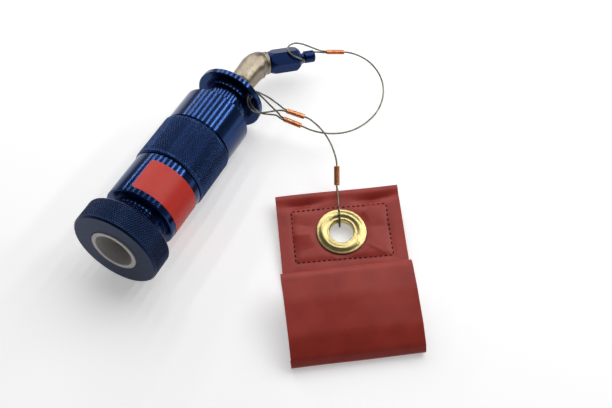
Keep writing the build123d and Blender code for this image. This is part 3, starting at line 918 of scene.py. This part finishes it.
@dataclass
class Streamer:
    """A strip of coated cloth folded in three, with a stitched patch for its eyelet."""

    width: float = 81.8
    thickness: float = 1.0
    columns: int = 90
    grommet_station: float = 30.5
    grommet_clear: float = 9.6
    stitch_box: tuple[float, float, float, float] = (12.5, 50.0, -31.5, 31.5)
    stitch_length: float = 2.1
    stitch_gap: float = 1.3
    flap_skew: float = 0.031
    flap_shift: tuple[float, float] = (-1.0, -2.0)
    folds: Profile = field(default_factory=lambda: [
        (0.0, 8.0), (62.0, 1.4), (103.0, 0.3), (108.5, 2.5), (101.5, 4.7), (66.0, 20.0),
        (70.5, 22.0), (86.0, 20.2), (108.0, 14.4), (119.0, 8.2), (122.4, 2.6), (116.0, 1.0)])
    radii: list[float] = field(default_factory=lambda: [
        90.0, 2.0, 1.2, 2.0, 1.2, 6.0, 40.0, 22.0, 6.0, 1.8])

    def middle_line(self) -> Profile:
        """Samples the strip's folded line, half its thickness above its lower face.

        Returns:
            Stations and heights, close together at the folds.
        """
        line: Profile = [self.folds[0]]
        for (x0, z0), (x1, z1), (x2, z2), radius in zip(
                self.folds, self.folds[1:], self.folds[2:], self.radii):
            into = Vector((x1 - x0, z1 - z0)).normalized()
            out = Vector((x2 - x1, z2 - z1)).normalized()
            turn = into.angle_signed(out)
            reach = radius * math.tan(abs(turn) / 2)
            start = Vector((x1, z1)) - into * reach
            side = 1 if into.x * out.y - into.y * out.x > 0 else -1
            centre = start + Vector((-into.y, into.x)) * radius * side
            steps = max(3, int(abs(turn) * max(radius, 3.0) / 1.0))
            for k in range(steps + 1):
                swing = abs(turn) * k / steps * side
                arm = start - centre
                line.append((
                    centre.x + arm.x * math.cos(swing) - arm.y * math.sin(swing),
                    centre.y + arm.x * math.sin(swing) + arm.y * math.cos(swing)))
        line.append(self.folds[-1])
        return self.shifted(self.divided(line))

    def divided(self, line: Profile, spacing: float = 0.9) -> Profile:
        """Divides a line's long runs so that no two points are far apart."""
        points: Profile = []
        for (x0, z0), (x1, z1) in zip(line, line[1:]):
            count = max(1, math.ceil(math.hypot(x1 - x0, z1 - z0) / spacing))
            points += [(x0 + (x1 - x0) * k / count, z0 + (z1 - z0) * k / count)
                       for k in range(count)]
        points.append(line[-1])
        return [p for p, q in zip(points, points[1:] + [(1e9, 0)])
                if math.hypot(q[0] - p[0], q[1] - p[1]) > 0.02]

    def shifted(self, line: Profile) -> Profile:
        """Moves a line half the cloth's thickness to its left."""
        moved: Profile = []
        for i, (x, z) in enumerate(line):
            x0, z0 = line[max(i - 1, 0)]
            x1, z1 = line[min(i + 1, len(line) - 1)]
            length = math.hypot(x1 - x0, z1 - z0)
            moved.append((x - (z1 - z0) / length * self.thickness / 2,
                          z + (x1 - x0) / length * self.thickness / 2))
        return moved

    def build(self, finishes: Finishes) -> bpy.types.Object:
        """Builds the folded strip and its stitches.

        Args:
            finishes: The adaptor's finishes.

        Returns:
            The strip's piece.
        """
        strip = StreamerFrame()
        line = self.middle_line()
        lengths = [0.0]
        for (x0, z0), (x1, z1) in zip(line, line[1:]):
            lengths.append(lengths[-1] + math.hypot(x1 - x0, z1 - z0))
        vertices: list[Vector] = []
        for (x, z), run in zip(line, lengths):
            for k in range(self.columns + 1):
                across = self.width * (k / self.columns - 0.5)
                place = self.skewed(x, across, run)
                vertices.append(strip.point(*place, z + self.wave(run, across)))
        faces: list[Sequence[int]] = []
        row = self.columns + 1
        for i in range(len(line) - 1):
            for k in range(self.columns):
                across = self.width * ((k + 0.5) / self.columns - 0.5)
                middle = (lengths[i] + lengths[i + 1]) / 2
                if math.hypot(middle - self.grommet_station, across) > self.grommet_clear:
                    a = i * row + k
                    faces.append((a, a + 1, a + row + 1, a + row))
        sheet = mesh_object("streamer_cloth", vertices, faces, finishes.cloth)
        thicken(sheet, self.thickness * MM)
        settle(sheet, Body.ADAPTOR, Slot.VINYL, "streamer")
        LOG.info("the streamer is %.0f mm long unfolded", lengths[-1])
        self.stitch(strip, line, lengths, finishes.thread)
        return sheet

    def skewed(self, x: float, across: float, run: float) -> tuple[float, float]:
        """Turns the upper flap a little, because the strip wasn't folded quite square.

        Args:
            x: Station on the table from the top edge.
            across: Distance from the strip's middle.
            run: Distance along the cloth from its top edge.

        Returns:
            The turned station and distance.
        """
        share = min(max((run - 108) / 40, 0.0), 1.0)
        share = share * share * (3 - 2 * share)
        return (x + (self.flap_shift[0] - self.flap_skew * across) * share,
                across + (self.flap_shift[1] + self.flap_skew * (x - 66)) * share)

    def wave(self, run: float, across: float) -> float:
        """The lift of the cloth from its flat folds: hem, patch, creases and soft swells.

        Args:
            run: Distance along the cloth from its top edge.
            across: Distance from the strip's middle.

        Returns:
            The lift in millimetres.
        """
        side = across / self.width * 2
        edge = max(0.0, 1 - run / 45)
        corners = (0.3 + 1.6 * side * abs(side)) * edge
        hem = 0.0
        for middle, reach in ((-24.0, 11.0), (23.0, 12.0)):
            hem -= 2.5 * math.exp(-((run - 8.0 + 0.05 * (across - middle)) / 2.6) ** 2
                                  - ((across - middle) / reach) ** 2)
        hem += 0.5 * math.exp(-((run - 2.6) / 2.0) ** 2)
        top, bottom, left, right = self.stitch_box
        inside = min(run - top, bottom - run, across - left, right - across)
        puff = 0.6 * (1 - math.exp(-max(inside, 0.0) / 3.5)) - 0.4 * math.exp(-(inside / 2.0) ** 2)
        away = math.hypot(run - self.grommet_station, across)
        turn = math.atan2(across, run - self.grommet_station)
        ring = math.exp(-((away - 25) / 8.0) ** 2) if inside > 0 else 0.0
        crease = 1.5 * ring * (0.5 - abs(math.sin(turn * 2.5 + 0.7)) ** 0.6
                               + 0.5 * abs(math.sin(turn * 4.5 + 2.0)))
        flap = 0.0
        if run > 150:
            flap = 0.35 * math.sin(across * 0.11 + 1.0) * math.sin((run - 150) * 0.06)
        lower = 0.3 * math.sin(across * 0.16 + run * 0.05) * max(0.0, 1 - abs(run - 60) / 14)
        seat = min(1.0, max(0.0, (away - 16.5) / 4))
        return corners + (hem + puff + crease) * seat + flap + lower

    def stitch(self, strip: StreamerFrame, line: Profile, lengths: list[float],
               material: bpy.types.Material) -> None:
        """Sews the patch's seam: a box of separate stitches that stand on the cloth.

        Args:
            strip: The streamer's frame.
            line: The cloth's middle line.
            lengths: How far along the cloth each of its points is.
            material: The thread's finish.
        """
        top, bottom, left, right = self.stitch_box
        corners = [(top, left), (top, right), (bottom, right), (bottom, left), (top, left)]
        vertices: list[Vector] = []
        faces: list[Sequence[int]] = []
        pitch = self.stitch_length + self.stitch_gap
        for (s0, w0), (s1, w1) in zip(corners, corners[1:]):
            span = math.hypot(s1 - s0, w1 - w0)
            count = round(span / pitch)
            for k in range(count):
                centre = (k + 0.5) / count
                s, w = s0 + (s1 - s0) * centre, w0 + (w1 - w0) * centre
                self.add_stitch(strip, line, lengths, (s, w), ((s1 - s0) / span, (w1 - w0) / span),
                                vertices, faces)
        piece = mesh_object("streamer_seam", vertices, faces, material)
        settle(piece, Body.ADAPTOR, Slot.VINYL)

    def add_stitch(self, strip: StreamerFrame, line: Profile, lengths: list[float],
                   place: tuple[float, float], heading: tuple[float, float],
                   vertices: list[Vector], faces: list[Sequence[int]]) -> None:
        """Adds one stitch, a small bowed rod of thread.

        Args:
            strip: The streamer's frame.
            line: The cloth's middle line.
            lengths: How far along the cloth each of its points is.
            place: The stitch's middle, along and across the cloth.
            heading: Its direction, along and across the cloth.
            vertices: The seam's points, which grow.
            faces: The seam's faces, which grow.
        """
        sections, around, thread = 7, 6, 0.48
        base = len(vertices)
        for i in range(sections):
            share = i / (sections - 1)
            reach = (share - 0.5) * self.stitch_length
            s, w = place[0] + heading[0] * reach, place[1] + heading[1] * reach
            j = max(n for n in range(len(lengths) - 1) if lengths[n] <= s)
            part = (s - lengths[j]) / (lengths[j + 1] - lengths[j])
            x = line[j][0] + (line[j + 1][0] - line[j][0]) * part
            z = (line[j][1] + (line[j + 1][1] - line[j][1]) * part + self.thickness / 2
                 + self.wave(s, w))
            bow = math.sin(math.pi * share)
            radius = thread * (0.35 + 0.65 * bow)
            middle = strip.point(x, w, z + 0.2 * bow)
            side = strip.direction(-heading[1], heading[0], 0)
            for k in range(around):
                angle = 2 * math.pi * k / around
                vertices.append(middle + (side * math.cos(angle)
                                          + Vector((0, 0, 1)) * math.sin(angle)) * radius * MM)
        for i in range(sections - 1):
            for k in range(around):
                a, b = base + i * around + k, base + i * around + (k + 1) % around
                faces.append((a, b, b + around, a + around))
        faces.append([base + k for k in range(around)])
        faces.append([base + (sections - 1) * around + k for k in range(around)])


def thicken(piece: bpy.types.Object, thickness: float) -> None:
    """Gives a sheet its thickness, half to each side, as real geometry."""
    solid = piece.modifiers.new("thickness", "SOLIDIFY")
    solid.thickness = thickness
    solid.offset = 0
    graph = bpy.context.evaluated_depsgraph_get()
    mesh = bpy.data.meshes.new_from_object(piece.evaluated_get(graph))
    piece.modifiers.clear()
    piece.data = mesh
    mark_sharp(piece, 50)


@dataclass
class Grommet:
    """The brass eyelet in the streamer."""

    station: float = 30.5
    top: tuple[float, float] = (0.0, 8.0)
    low: tuple[float, float] = (62.0, 1.4)
    outline: Profile = field(default_factory=lambda: [
        (-2.0, 7.8), (-2.0, 8.7), (0.8, 8.7), (0.8, 15.9), (1.1, 16.4), (1.5, 16.3),
        (1.7, 15.6), (1.75, 14.9), (2.2, 14.0), (2.65, 13.1), (2.8, 12.2), (2.65, 11.4),
        (2.3, 10.7), (2.05, 10.1), (2.0, 9.5), (2.1, 8.9), (1.9, 8.3), (1.2, 7.95), (0.2, 7.8)])

    def build(self, finishes: Finishes) -> None:
        """Turns the eyelet.

        Args:
            finishes: The adaptor's finishes.
        """
        slope = (self.low[1] - self.top[1]) / (self.low[0] - self.top[0])
        strip = StreamerFrame()
        centre = strip.point(self.station, 0, self.top[1] + slope * self.station + 0.5)
        normal = strip.direction(-slope, 0, 1)
        eyelet = TurnedPiece("grommet_eyelet", "grommet", Body.ADAPTOR, Slot.BRASS,
                             self.outline, ease=0.25, segments=144)
        eyelet.build(TurningAxis(centre, normal), finishes.brass)


@dataclass
class Barrel:
    """The adaptor's turned pieces, with stations from its mouth in millimetres."""

    neck_start: float = 11.3
    neck_radius: float = 19.5
    thread_pitch: float = 1.5
    thread_depth: float = 0.55
    counterbore: float = 16.2
    bore: float = 13.6
    seal_end: float = 23.0
    body_radius: float = 24.4
    body_chamfer: float = 0.8
    front_start: float = 28.0
    front_end: float = 63.0
    groove_width: float = 1.2
    groove_depth: float = 0.9
    spigot_radius: float = 20.0
    spigot_end: float = 104.0
    probe_depth: float = 92.0
    passage: float = 3.0
    grip_end: float = 98.0
    grip_radius: float = 25.4
    rear_end: float = 125.5
    rear_neck_radius: float = 16.0
    collar_radius: float = 19.0
    collar_length: float = 4.0
    flange_start: float = 142.5
    flange_end: float = 147.1
    flange_radius: float = 24.2
    bush_bore: float = 13.0
    bush_radius: float = 15.85
    bush_proud: float = 0.6
    shoulder_start: float = 5.1
    shoulder_end: float = 7.6
    shoulder_radius: float = 18.25
    bush_end: float = 14.5
    nut_radius: float = 29.7
    nut_length: float = 17.0
    nut_chamfer: float = 1.2

    def thread(self) -> Profile:
        """The neck's thread crests and roots, front to rear."""
        points: Profile = []
        station = self.neck_start + 1.0
        while station + self.thread_pitch < self.front_start - 1.0:
            points += [(station, self.neck_radius), (station + self.thread_pitch * 0.15,
                                                     self.neck_radius),
                       (station + self.thread_pitch * 0.5, self.neck_radius - self.thread_depth),
                       (station + self.thread_pitch * 0.65, self.neck_radius - self.thread_depth)]
            station += self.thread_pitch
        return points

    def front_outline(self) -> Profile:
        """The front body's closed outline."""
        rim = self.body_radius - self.groove_depth
        return [
            (self.neck_start, self.counterbore), (self.neck_start, self.neck_radius - 0.6),
            *self.thread(), (self.front_start - 0.9, self.neck_radius - self.thread_depth),
            (self.front_start, self.neck_radius - self.thread_depth),
            (self.front_start, self.body_radius - self.body_chamfer),
            (self.front_start + self.body_chamfer, self.body_radius),
            (self.front_end - self.groove_width, self.body_radius),
            (self.front_end - self.groove_width, rim), (self.front_end, rim),
            (self.front_end, self.spigot_radius), (self.spigot_end, self.spigot_radius),
            (self.spigot_end, self.passage), (self.probe_depth, self.passage),
            (self.probe_depth, self.bore), (self.seal_end, self.bore),
            (self.seal_end, self.counterbore)]

    def bush_outline(self) -> Profile:
        """The guide bush's closed outline, with the shoulder that the nut's lip pushes."""
        return [
            (-self.bush_proud, self.bush_bore), (-self.bush_proud, self.bush_radius),
            (self.shoulder_start, self.bush_radius), (self.shoulder_start, self.shoulder_radius),
            (self.shoulder_end, self.shoulder_radius), (self.shoulder_end, self.bush_radius),
            (self.bush_end, self.bush_radius), (self.bush_end, self.bush_bore)]

    def build(self, finishes: Finishes) -> None:
        """Builds the nut, the barrel's front body and the knurled band.

        Args:
            finishes: The adaptor's finishes.
        """
        axis = mouth_axis()
        front = TurnedPiece("front_body_turned", "front_body", Body.ADAPTOR, Slot.TURNED,
                            self.front_outline(), ease=0.12)
        front.build(axis, finishes.turned)
        nut_inside = [
            (self.nut_chamfer * 0.4, self.nut_radius - 0.7), (0.0, self.nut_radius - 1.2),
            (0.0, 16.3), (0.2, 16.1), (5.0, 16.1), (5.0, 19.8), (self.nut_length, 19.8),
            (self.nut_length, self.nut_radius - 1.2),
            (self.nut_length - self.nut_chamfer * 0.4, self.nut_radius - 0.7)]
        # The nut's finish carries painted shade in its darker dye.
        KnurledPiece("clamp_nut_knurled", "clamp_nut", Body.NUT, self.nut_radius, 0.0,
                     self.nut_length, self.nut_chamfer, nut_inside, pitch=1.7,
                     depth=0.36).build(axis, finishes.nut_painted_shade)
        TurnedPiece("guide_bush_turned", "guide_bush", Body.BUSH, Slot.BUSH,
                    self.bush_outline(), ease=0.2).build(axis, finishes.polymer)
        band_inside = [
            (self.front_end + 0.2, self.grip_radius - 0.8), (self.front_end, self.grip_radius - 1.1),
            (self.front_end, self.spigot_radius + 0.1), (self.grip_end, self.spigot_radius + 0.1),
            (self.grip_end, self.grip_radius - 1.1), (self.grip_end - 0.2, self.grip_radius - 0.8)]
        KnurledPiece("grip_band_knurled", "grip_band", Body.ADAPTOR, self.grip_radius,
                     self.front_end, self.grip_end, 0.8, band_inside).build(axis, finishes.knurled)


@dataclass
class BlankLabel:
    """The red film round the front body, with nothing printed on it."""

    start: float = 32.6
    width: float = 24.0
    radius: float = 24.4
    thickness: float = 0.22
    first_angle: float = -12.0
    span: float = 178.0
    corner: float = 2.0
    columns: int = 160
    rows: int = 24

    def build(self, axis: TurningAxis, material: bpy.types.Material) -> bpy.types.Object:
        """Builds the film with its rounded corners.

        Args:
            axis: The adaptor's axis.
            material: The film's finish.

        Returns:
            The piece, settled on its body.
        """
        vertices: list[Vector] = []
        reach = math.radians(self.span) * self.radius
        for layer in (self.radius + 0.01, self.radius + self.thickness):
            for i in range(self.columns + 1):
                along = reach * i / self.columns
                end = min(along, reach - along)
                inset = 0.0
                if end < self.corner:
                    inset = self.corner - math.sqrt(self.corner ** 2 - (self.corner - end) ** 2)
                for j in range(self.rows + 1):
                    station = self.start + inset + (self.width - 2 * inset) * j / self.rows
                    angle = math.radians(self.first_angle) + along / self.radius
                    vertices.append(axis.point(station, layer, angle))
        row = self.rows + 1
        layer_size = row * (self.columns + 1)
        faces: list[Sequence[int]] = []
        for base in (0, layer_size):
            for i in range(self.columns):
                for j in range(self.rows):
                    a = base + i * row + j
                    faces.append((a, a + 1, a + row + 1, a + row))
        rim = ([j for j in range(row)] + [i * row + self.rows for i in range(1, self.columns + 1)]
               + [self.columns * row + j for j in range(self.rows - 1, -1, -1)]
               + [i * row for i in range(self.columns - 1, 0, -1)])
        for one, two in zip(rim, rim[1:] + rim[:1]):
            faces.append((one, two, two + layer_size, one + layer_size))
        piece = mesh_object("blank_label_film", vertices, faces, material)
        mark_sharp(piece, 40)
        settle(piece, Body.ADAPTOR, Slot.LABEL, "blank_label")
        return piece


@dataclass
class Elbow:
    """The forged elbow between the flange and the cap, with its threaded stub."""

    foot: float = 147.1
    corner: float = 181.4
    bend_radius: float = 14.0
    angle: float = 45.0
    stub_end: float = 21.6
    thread_pitch: float = 1.0
    around: int = 72
    shape: Profile = field(default_factory=lambda: [
        (0.0, 7.9), (0.5, 8.4), (5.4, 8.4), (6.0, 8.0), (6.4, 7.5), (7.6, 7.3), (10.2, 7.4),
        (11.6, 8.0), (13.2, 8.6), (16.0, 8.9), (20.0, 9.1), (25.0, 9.3), (30.0, 9.5),
        (34.0, 9.5), (37.0, 9.1), (39.0, 8.5), (40.2, 8.0), (40.5, 8.1), (42.6, 8.1),
        (42.8, 7.9)])

    def centre(self, run: float, cap: CapFrame) -> tuple[Vector, Vector]:
        """Finds a point of the elbow's bent middle line and its heading.

        Args:
            run: Distance from the flange along the line, in millimetres.
            cap: The cap's frame.

        Returns:
            The point and the heading there.
        """
        axis = mouth_axis()
        turn = math.radians(self.angle)
        lead = self.bend_radius * math.tan(turn / 2)
        straight = self.corner - self.foot - lead
        if run <= straight:
            return axis.point(self.foot + run, 0, 0), axis.along
        bend = (cap.out - axis.along * cap.out.dot(axis.along)).normalized()
        swing = min((run - straight) / self.bend_radius, turn)
        start = axis.point(self.foot + straight, 0, 0)
        centre = start + bend * self.bend_radius * MM
        place = centre + (axis.along * math.sin(swing) - bend * math.cos(swing)) * (
            self.bend_radius * MM)
        heading = axis.along * math.cos(swing) + bend * math.sin(swing)
        left = run - straight - self.bend_radius * swing
        return place + heading * max(left, 0.0) * MM, heading

    def build(self, material: bpy.types.Material) -> bpy.types.Object:
        """Sweeps the elbow's section, fuller outside its knee, down to the stub's hole.

        Args:
            material: The metal's finish.

        Returns:
            The piece, settled on its body.
        """
        cap, axis = CapFrame(), mouth_axis()
        turn = math.radians(self.angle)
        lead = self.bend_radius * math.tan(turn / 2)
        outlet = self.corner - self.foot - 2 * lead + self.bend_radius * turn
        knee = self.corner - self.foot - lead + self.bend_radius * turn / 2
        flange_to_stub = outlet + self.stub_end
        stations: Profile = []
        for (x0, r0), (x1, r1) in zip(self.shape, self.shape[1:]):
            count = max(1, math.ceil((x1 - x0) / 0.8))
            stations += [(x0 + (x1 - x0) * k / count, r0 + (r1 - r0) * k / count)
                         for k in range(count)]
        stations.append(self.shape[-1])
        station = self.shape[-1][0]
        stations.append((station, 5.1))
        while station < flange_to_stub - 3.2:
            stations += [(station + 0.3, 5.1), (station + 0.5, 5.5), (station + 0.8, 5.5)]
            station += self.thread_pitch
        stations += [(flange_to_stub - 2.0, 4.6), (flange_to_stub, 3.4), (flange_to_stub, 3.0),
                     (flange_to_stub - 9.0, 3.0)]
        side = axis.along.cross(cap.out).normalized()
        vertices: list[Vector] = []
        for run, radius in stations:
            place, heading = self.centre(run, cap)
            outer = heading.cross(side).normalized()
            bulge = math.exp(-((run - knee) / 7.5) ** 2)
            for k in range(self.around):
                angle = 2 * math.pi * k / self.around
                fuller = 0.0
                if radius > 7.0:
                    fuller = 1.1 * bulge * max(0.0, -math.cos(angle)) ** 2
                    seam = math.exp(-(math.cos(angle) / 0.06) ** 2)
                    fuller += 0.22 * seam * min(1.0, max(0.0, (run - 12) / 3)) * (run < 39)
                ray = outer * math.cos(angle) + side * math.sin(angle)
                vertices.append(place + ray * (radius + fuller) * MM)
        faces: list[Sequence[int]] = []
        for i in range(len(stations) - 1):
            for k in range(self.around):
                a, b = i * self.around + k, i * self.around + (k + 1) % self.around
                faces.append((a, b, b + self.around, a + self.around))
        faces.append(list(range(self.around)))
        faces.append([(len(stations) - 1) * self.around + k for k in range(self.around)])
        piece = mesh_object("elbow_forged", vertices, faces, material)
        mark_sharp(piece, 35)
        settle(piece, Body.ADAPTOR, Slot.ELBOW, "elbow")
        return piece


@dataclass
class PressureCap:
    """The hexagonal pressure cap with its neck and nub, along its own axis."""

    across_flats: float = 15.4
    first_corner: float = 30.0
    around: int = 144
    envelope: Profile = field(default_factory=lambda: [
        (9.2, 6.9), (9.4, 7.2), (10.4, 7.7), (12.0, 8.3), (13.8, 8.9), (29.4, 9.0),
        (30.6, 8.4), (31.8, 7.6), (32.8, 6.7), (33.2, 6.2), (33.3, 3.4), (33.6, 3.0),
        (36.4, 3.0), (36.6, 3.6), (36.7, 4.0), (37.2, 4.4), (43.6, 4.4), (44.2, 4.1),
        (44.6, 3.5)])
    bore: Profile = field(default_factory=lambda: [
        (26.7, 0.01), (26.7, 5.85), (10.2, 5.85), (9.2, 6.4)])

    def reach(self, angle: float) -> float:
        """How far the hexagon reaches at an angle about its axis."""
        sector = math.radians(60)
        turn = (angle - math.radians(self.first_corner)) % sector - sector / 2
        return self.across_flats / 2 / math.cos(turn)

    def build(self, material: bpy.types.Material) -> bpy.types.Object:
        """Builds the cap: a hexagonal bar whose ends a lathe has turned down.

        Args:
            material: The metal's finish.

        Returns:
            The piece, settled on its body.
        """
        cap = CapFrame()
        stations: Profile = [self.bore[0], self.bore[1], self.bore[2], self.bore[3]]
        for (x0, r0), (x1, r1) in zip(self.envelope, self.envelope[1:]):
            count = max(1, math.ceil((x1 - x0) / 0.5)) if x1 - x0 < 3 else 6
            stations += [(x0 + (x1 - x0) * k / count, r0 + (r1 - r0) * k / count)
                         for k in range(count)]
        stations += [self.envelope[-1], (44.6, 0.01)]
        vertices: list[Vector] = []
        for x, radius in stations:
            for k in range(self.around):
                angle = 2 * math.pi * k / self.around
                reach = min(radius, self.reach(angle))
                vertices.append(cap.point(
                    (x, reach * math.cos(angle), reach * math.sin(angle))))
        faces: list[Sequence[int]] = []
        for i in range(len(stations) - 1):
            for k in range(self.around):
                a, b = i * self.around + k, i * self.around + (k + 1) % self.around
                faces.append((a, b, b + self.around, a + self.around))
        piece = mesh_object("pressure_cap_hexagonal", vertices, faces, material)
        mark_sharp(piece, 22)
        settle(piece, Body.CAP, Slot.TURNED, "pressure_cap")
        return piece


class CarriedOver(Enum):
    """CAD nodes whose own solids show, and the finish that each takes."""

    REAR = ("rear_body", "turned")
    SEAL = ("seal", "rubber")
    WASHER = ("grommet_washer", "brass")


def dress_nodes(finishes: Finishes) -> None:
    """Gives each carried-over CAD node its finish.

    Args:
        finishes: The adaptor's finishes.
    """
    for node, finish in (entry.value for entry in CarriedOver):
        piece = frame["nodes"][node]
        piece.data.materials.clear()
        piece.data.materials.append(getattr(finishes, finish))
        LOG.info("%s is dressed in %s", node, finish)


@dataclass
class Studio:
    """The camera at the photograph's angle, a pale floor and soft light."""

    look_at: Point = (-4.0, -78.1, 0.0)
    heading: float = -63.27
    elevation: float = 55.13
    distance: float = 638.9
    focal_pixels: float = 950.0
    frame_width: int = 612
    tubes: int = 8
    tube_radiance: float = 13.5
    tube_size: tuple[float, float] = (0.046, 0.9)
    tube_spread: float = 57.0
    tube_middle: float = -8.0
    tube_distance: float = 1.1

    def camera(self) -> None:
        """Places the camera."""
        data = bpy.data.cameras.new("camera")
        data.sensor_width = 36.0
        data.lens = self.focal_pixels / self.frame_width * data.sensor_width
        data.clip_start, data.clip_end = 0.01, 50.0
        turn, lift = math.radians(self.heading), math.radians(self.elevation)
        look = Vector((-math.sin(turn) * math.cos(lift), math.cos(turn) * math.cos(lift),
                       -math.sin(lift)))
        camera = bpy.data.objects.new("camera", data)
        bpy.context.scene.collection.objects.link(camera)
        camera.location = Vector(self.look_at) * MM - look * self.distance * MM
        camera.rotation_euler = look.to_track_quat("-Z", "Y").to_euler()
        bpy.context.scene.camera = camera

    def floor(self) -> None:
        """Makes the floor, which shows white to the camera and keeps the object's shadow."""
        size = 6.0
        mesh = bpy.data.meshes.new("floor")
        mesh.from_pydata([(-size, -size, 0), (size, -size, 0), (size, size, 0), (-size, size, 0)],
                         [], [(0, 1, 2, 3)])
        floor = bpy.data.objects.new("floor", mesh)
        bpy.context.scene.collection.objects.link(floor)
        material, tree, shader = new_material("white table")
        shader.inputs["Base Color"].default_value = (0.82, 0.82, 0.82, 1)
        shader.inputs["Roughness"].default_value = 0.9
        shader.inputs["Emission Color"].default_value = (1, 1, 1, 1)
        path = add_node(tree, "ShaderNodeLightPath")
        seen = path.outputs["Is Camera Ray"]
        for other in ("Is Glossy Ray", "Is Transmission Ray"):
            either = add_node(tree, "ShaderNodeMath", {"operation": "MAXIMUM"})
            tree.links.new(seen, either.inputs[0])
            tree.links.new(path.outputs[other], either.inputs[1])
            seen = either.outputs[0]
        place = add_node(tree, "ShaderNodeTexCoord")
        away = add_node(tree, "ShaderNodeVectorMath", {"operation": "LENGTH"})
        tree.links.new(place.outputs["Object"], away.inputs[0])
        far = add_node(tree, "ShaderNodeMapRange",
                       {"From Min": 0.4, "From Max": 2.4, "To Min": 0.36, "To Max": 0.95},
                       {"Value": away.outputs["Value"]})
        glow = add_node(tree, "ShaderNodeMath", {"operation": "MULTIPLY"})
        tree.links.new(seen, glow.inputs[0])
        tree.links.new(far.outputs["Result"], glow.inputs[1])
        tree.links.new(glow.outputs[0], shader.inputs["Emission Strength"])
        mesh.materials.append(material)

    def world(self) -> None:
        """Makes a soft room: pale walls and a darker ceiling for the metal to mirror."""
        world = bpy.data.worlds.new("room")
        bpy.context.scene.world = world
        world.use_nodes = True
        tree = world.node_tree
        place = add_node(tree, "ShaderNodeTexCoord")
        parts = add_node(tree, "ShaderNodeSeparateXYZ", None,
                         {"Vector": place.outputs["Generated"]})
        ramp = add_node(tree, "ShaderNodeValToRGB", None, {"Fac": parts.outputs["Z"]})
        ramp.color_ramp.elements[0].position = 0.05
        ramp.color_ramp.elements[0].color = (0.34, 0.34, 0.34, 1)
        ramp.color_ramp.elements[1].position = 0.5
        ramp.color_ramp.elements[1].color = (0.12, 0.12, 0.125, 1)
        background = tree.nodes["Background"]
        tree.links.new(ramp.outputs["Color"], background.inputs["Color"])

    def lights(self) -> None:
        """Hangs a row of narrow tubes along the adaptor, as a ceiling fitting's are."""
        draw = random.Random(4)
        for k in range(self.tubes):
            share = k / (self.tubes - 1) * 2 - 1
            angle = math.radians(self.tube_middle + self.tube_spread * share)
            direction = Vector((0.511, -0.86 * math.sin(angle), 0.86 * math.cos(angle)))
            data = bpy.data.lights.new(f"tube_{k}", "AREA")
            data.shape = "RECTANGLE"
            data.size, data.size_y = self.tube_size
            area = self.tube_size[0] * self.tube_size[1]
            data.energy = math.pi * area * self.tube_radiance * draw.uniform(0.75, 1.25)
            lamp = bpy.data.objects.new(f"tube_{k}", data)
            bpy.context.scene.collection.objects.link(lamp)
            back = direction.normalized()
            along = (Vector((1, 0, 0)) - back * back.x).normalized()
            lamp.matrix_world = Matrix.Translation(direction * self.tube_distance) @ Matrix(
                (along.cross(back), along, back)).transposed().to_4x4()

    def build(self) -> None:
        """Builds the whole studio."""
        bpy.context.scene.view_settings.view_transform = "Standard"
        self.camera()
        self.floor()
        self.world()
        self.lights()


def main() -> None:
    """Builds the studio, the cords and every piece."""
    logging.basicConfig(level=logging.INFO, format="%(name)s: %(message)s")
    Studio().build()
    finishes = Finishes()
    Lanyards().build(finishes)
    Barrel().build(finishes)
    Streamer().build(finishes)
    Grommet().build(finishes)
    BlankLabel().build(mouth_axis(), finishes.film)
    Elbow().build(finishes.forged)
    PressureCap().build(finishes.milled)
    dress_nodes(finishes)


if __name__ == "__main__":
    main()
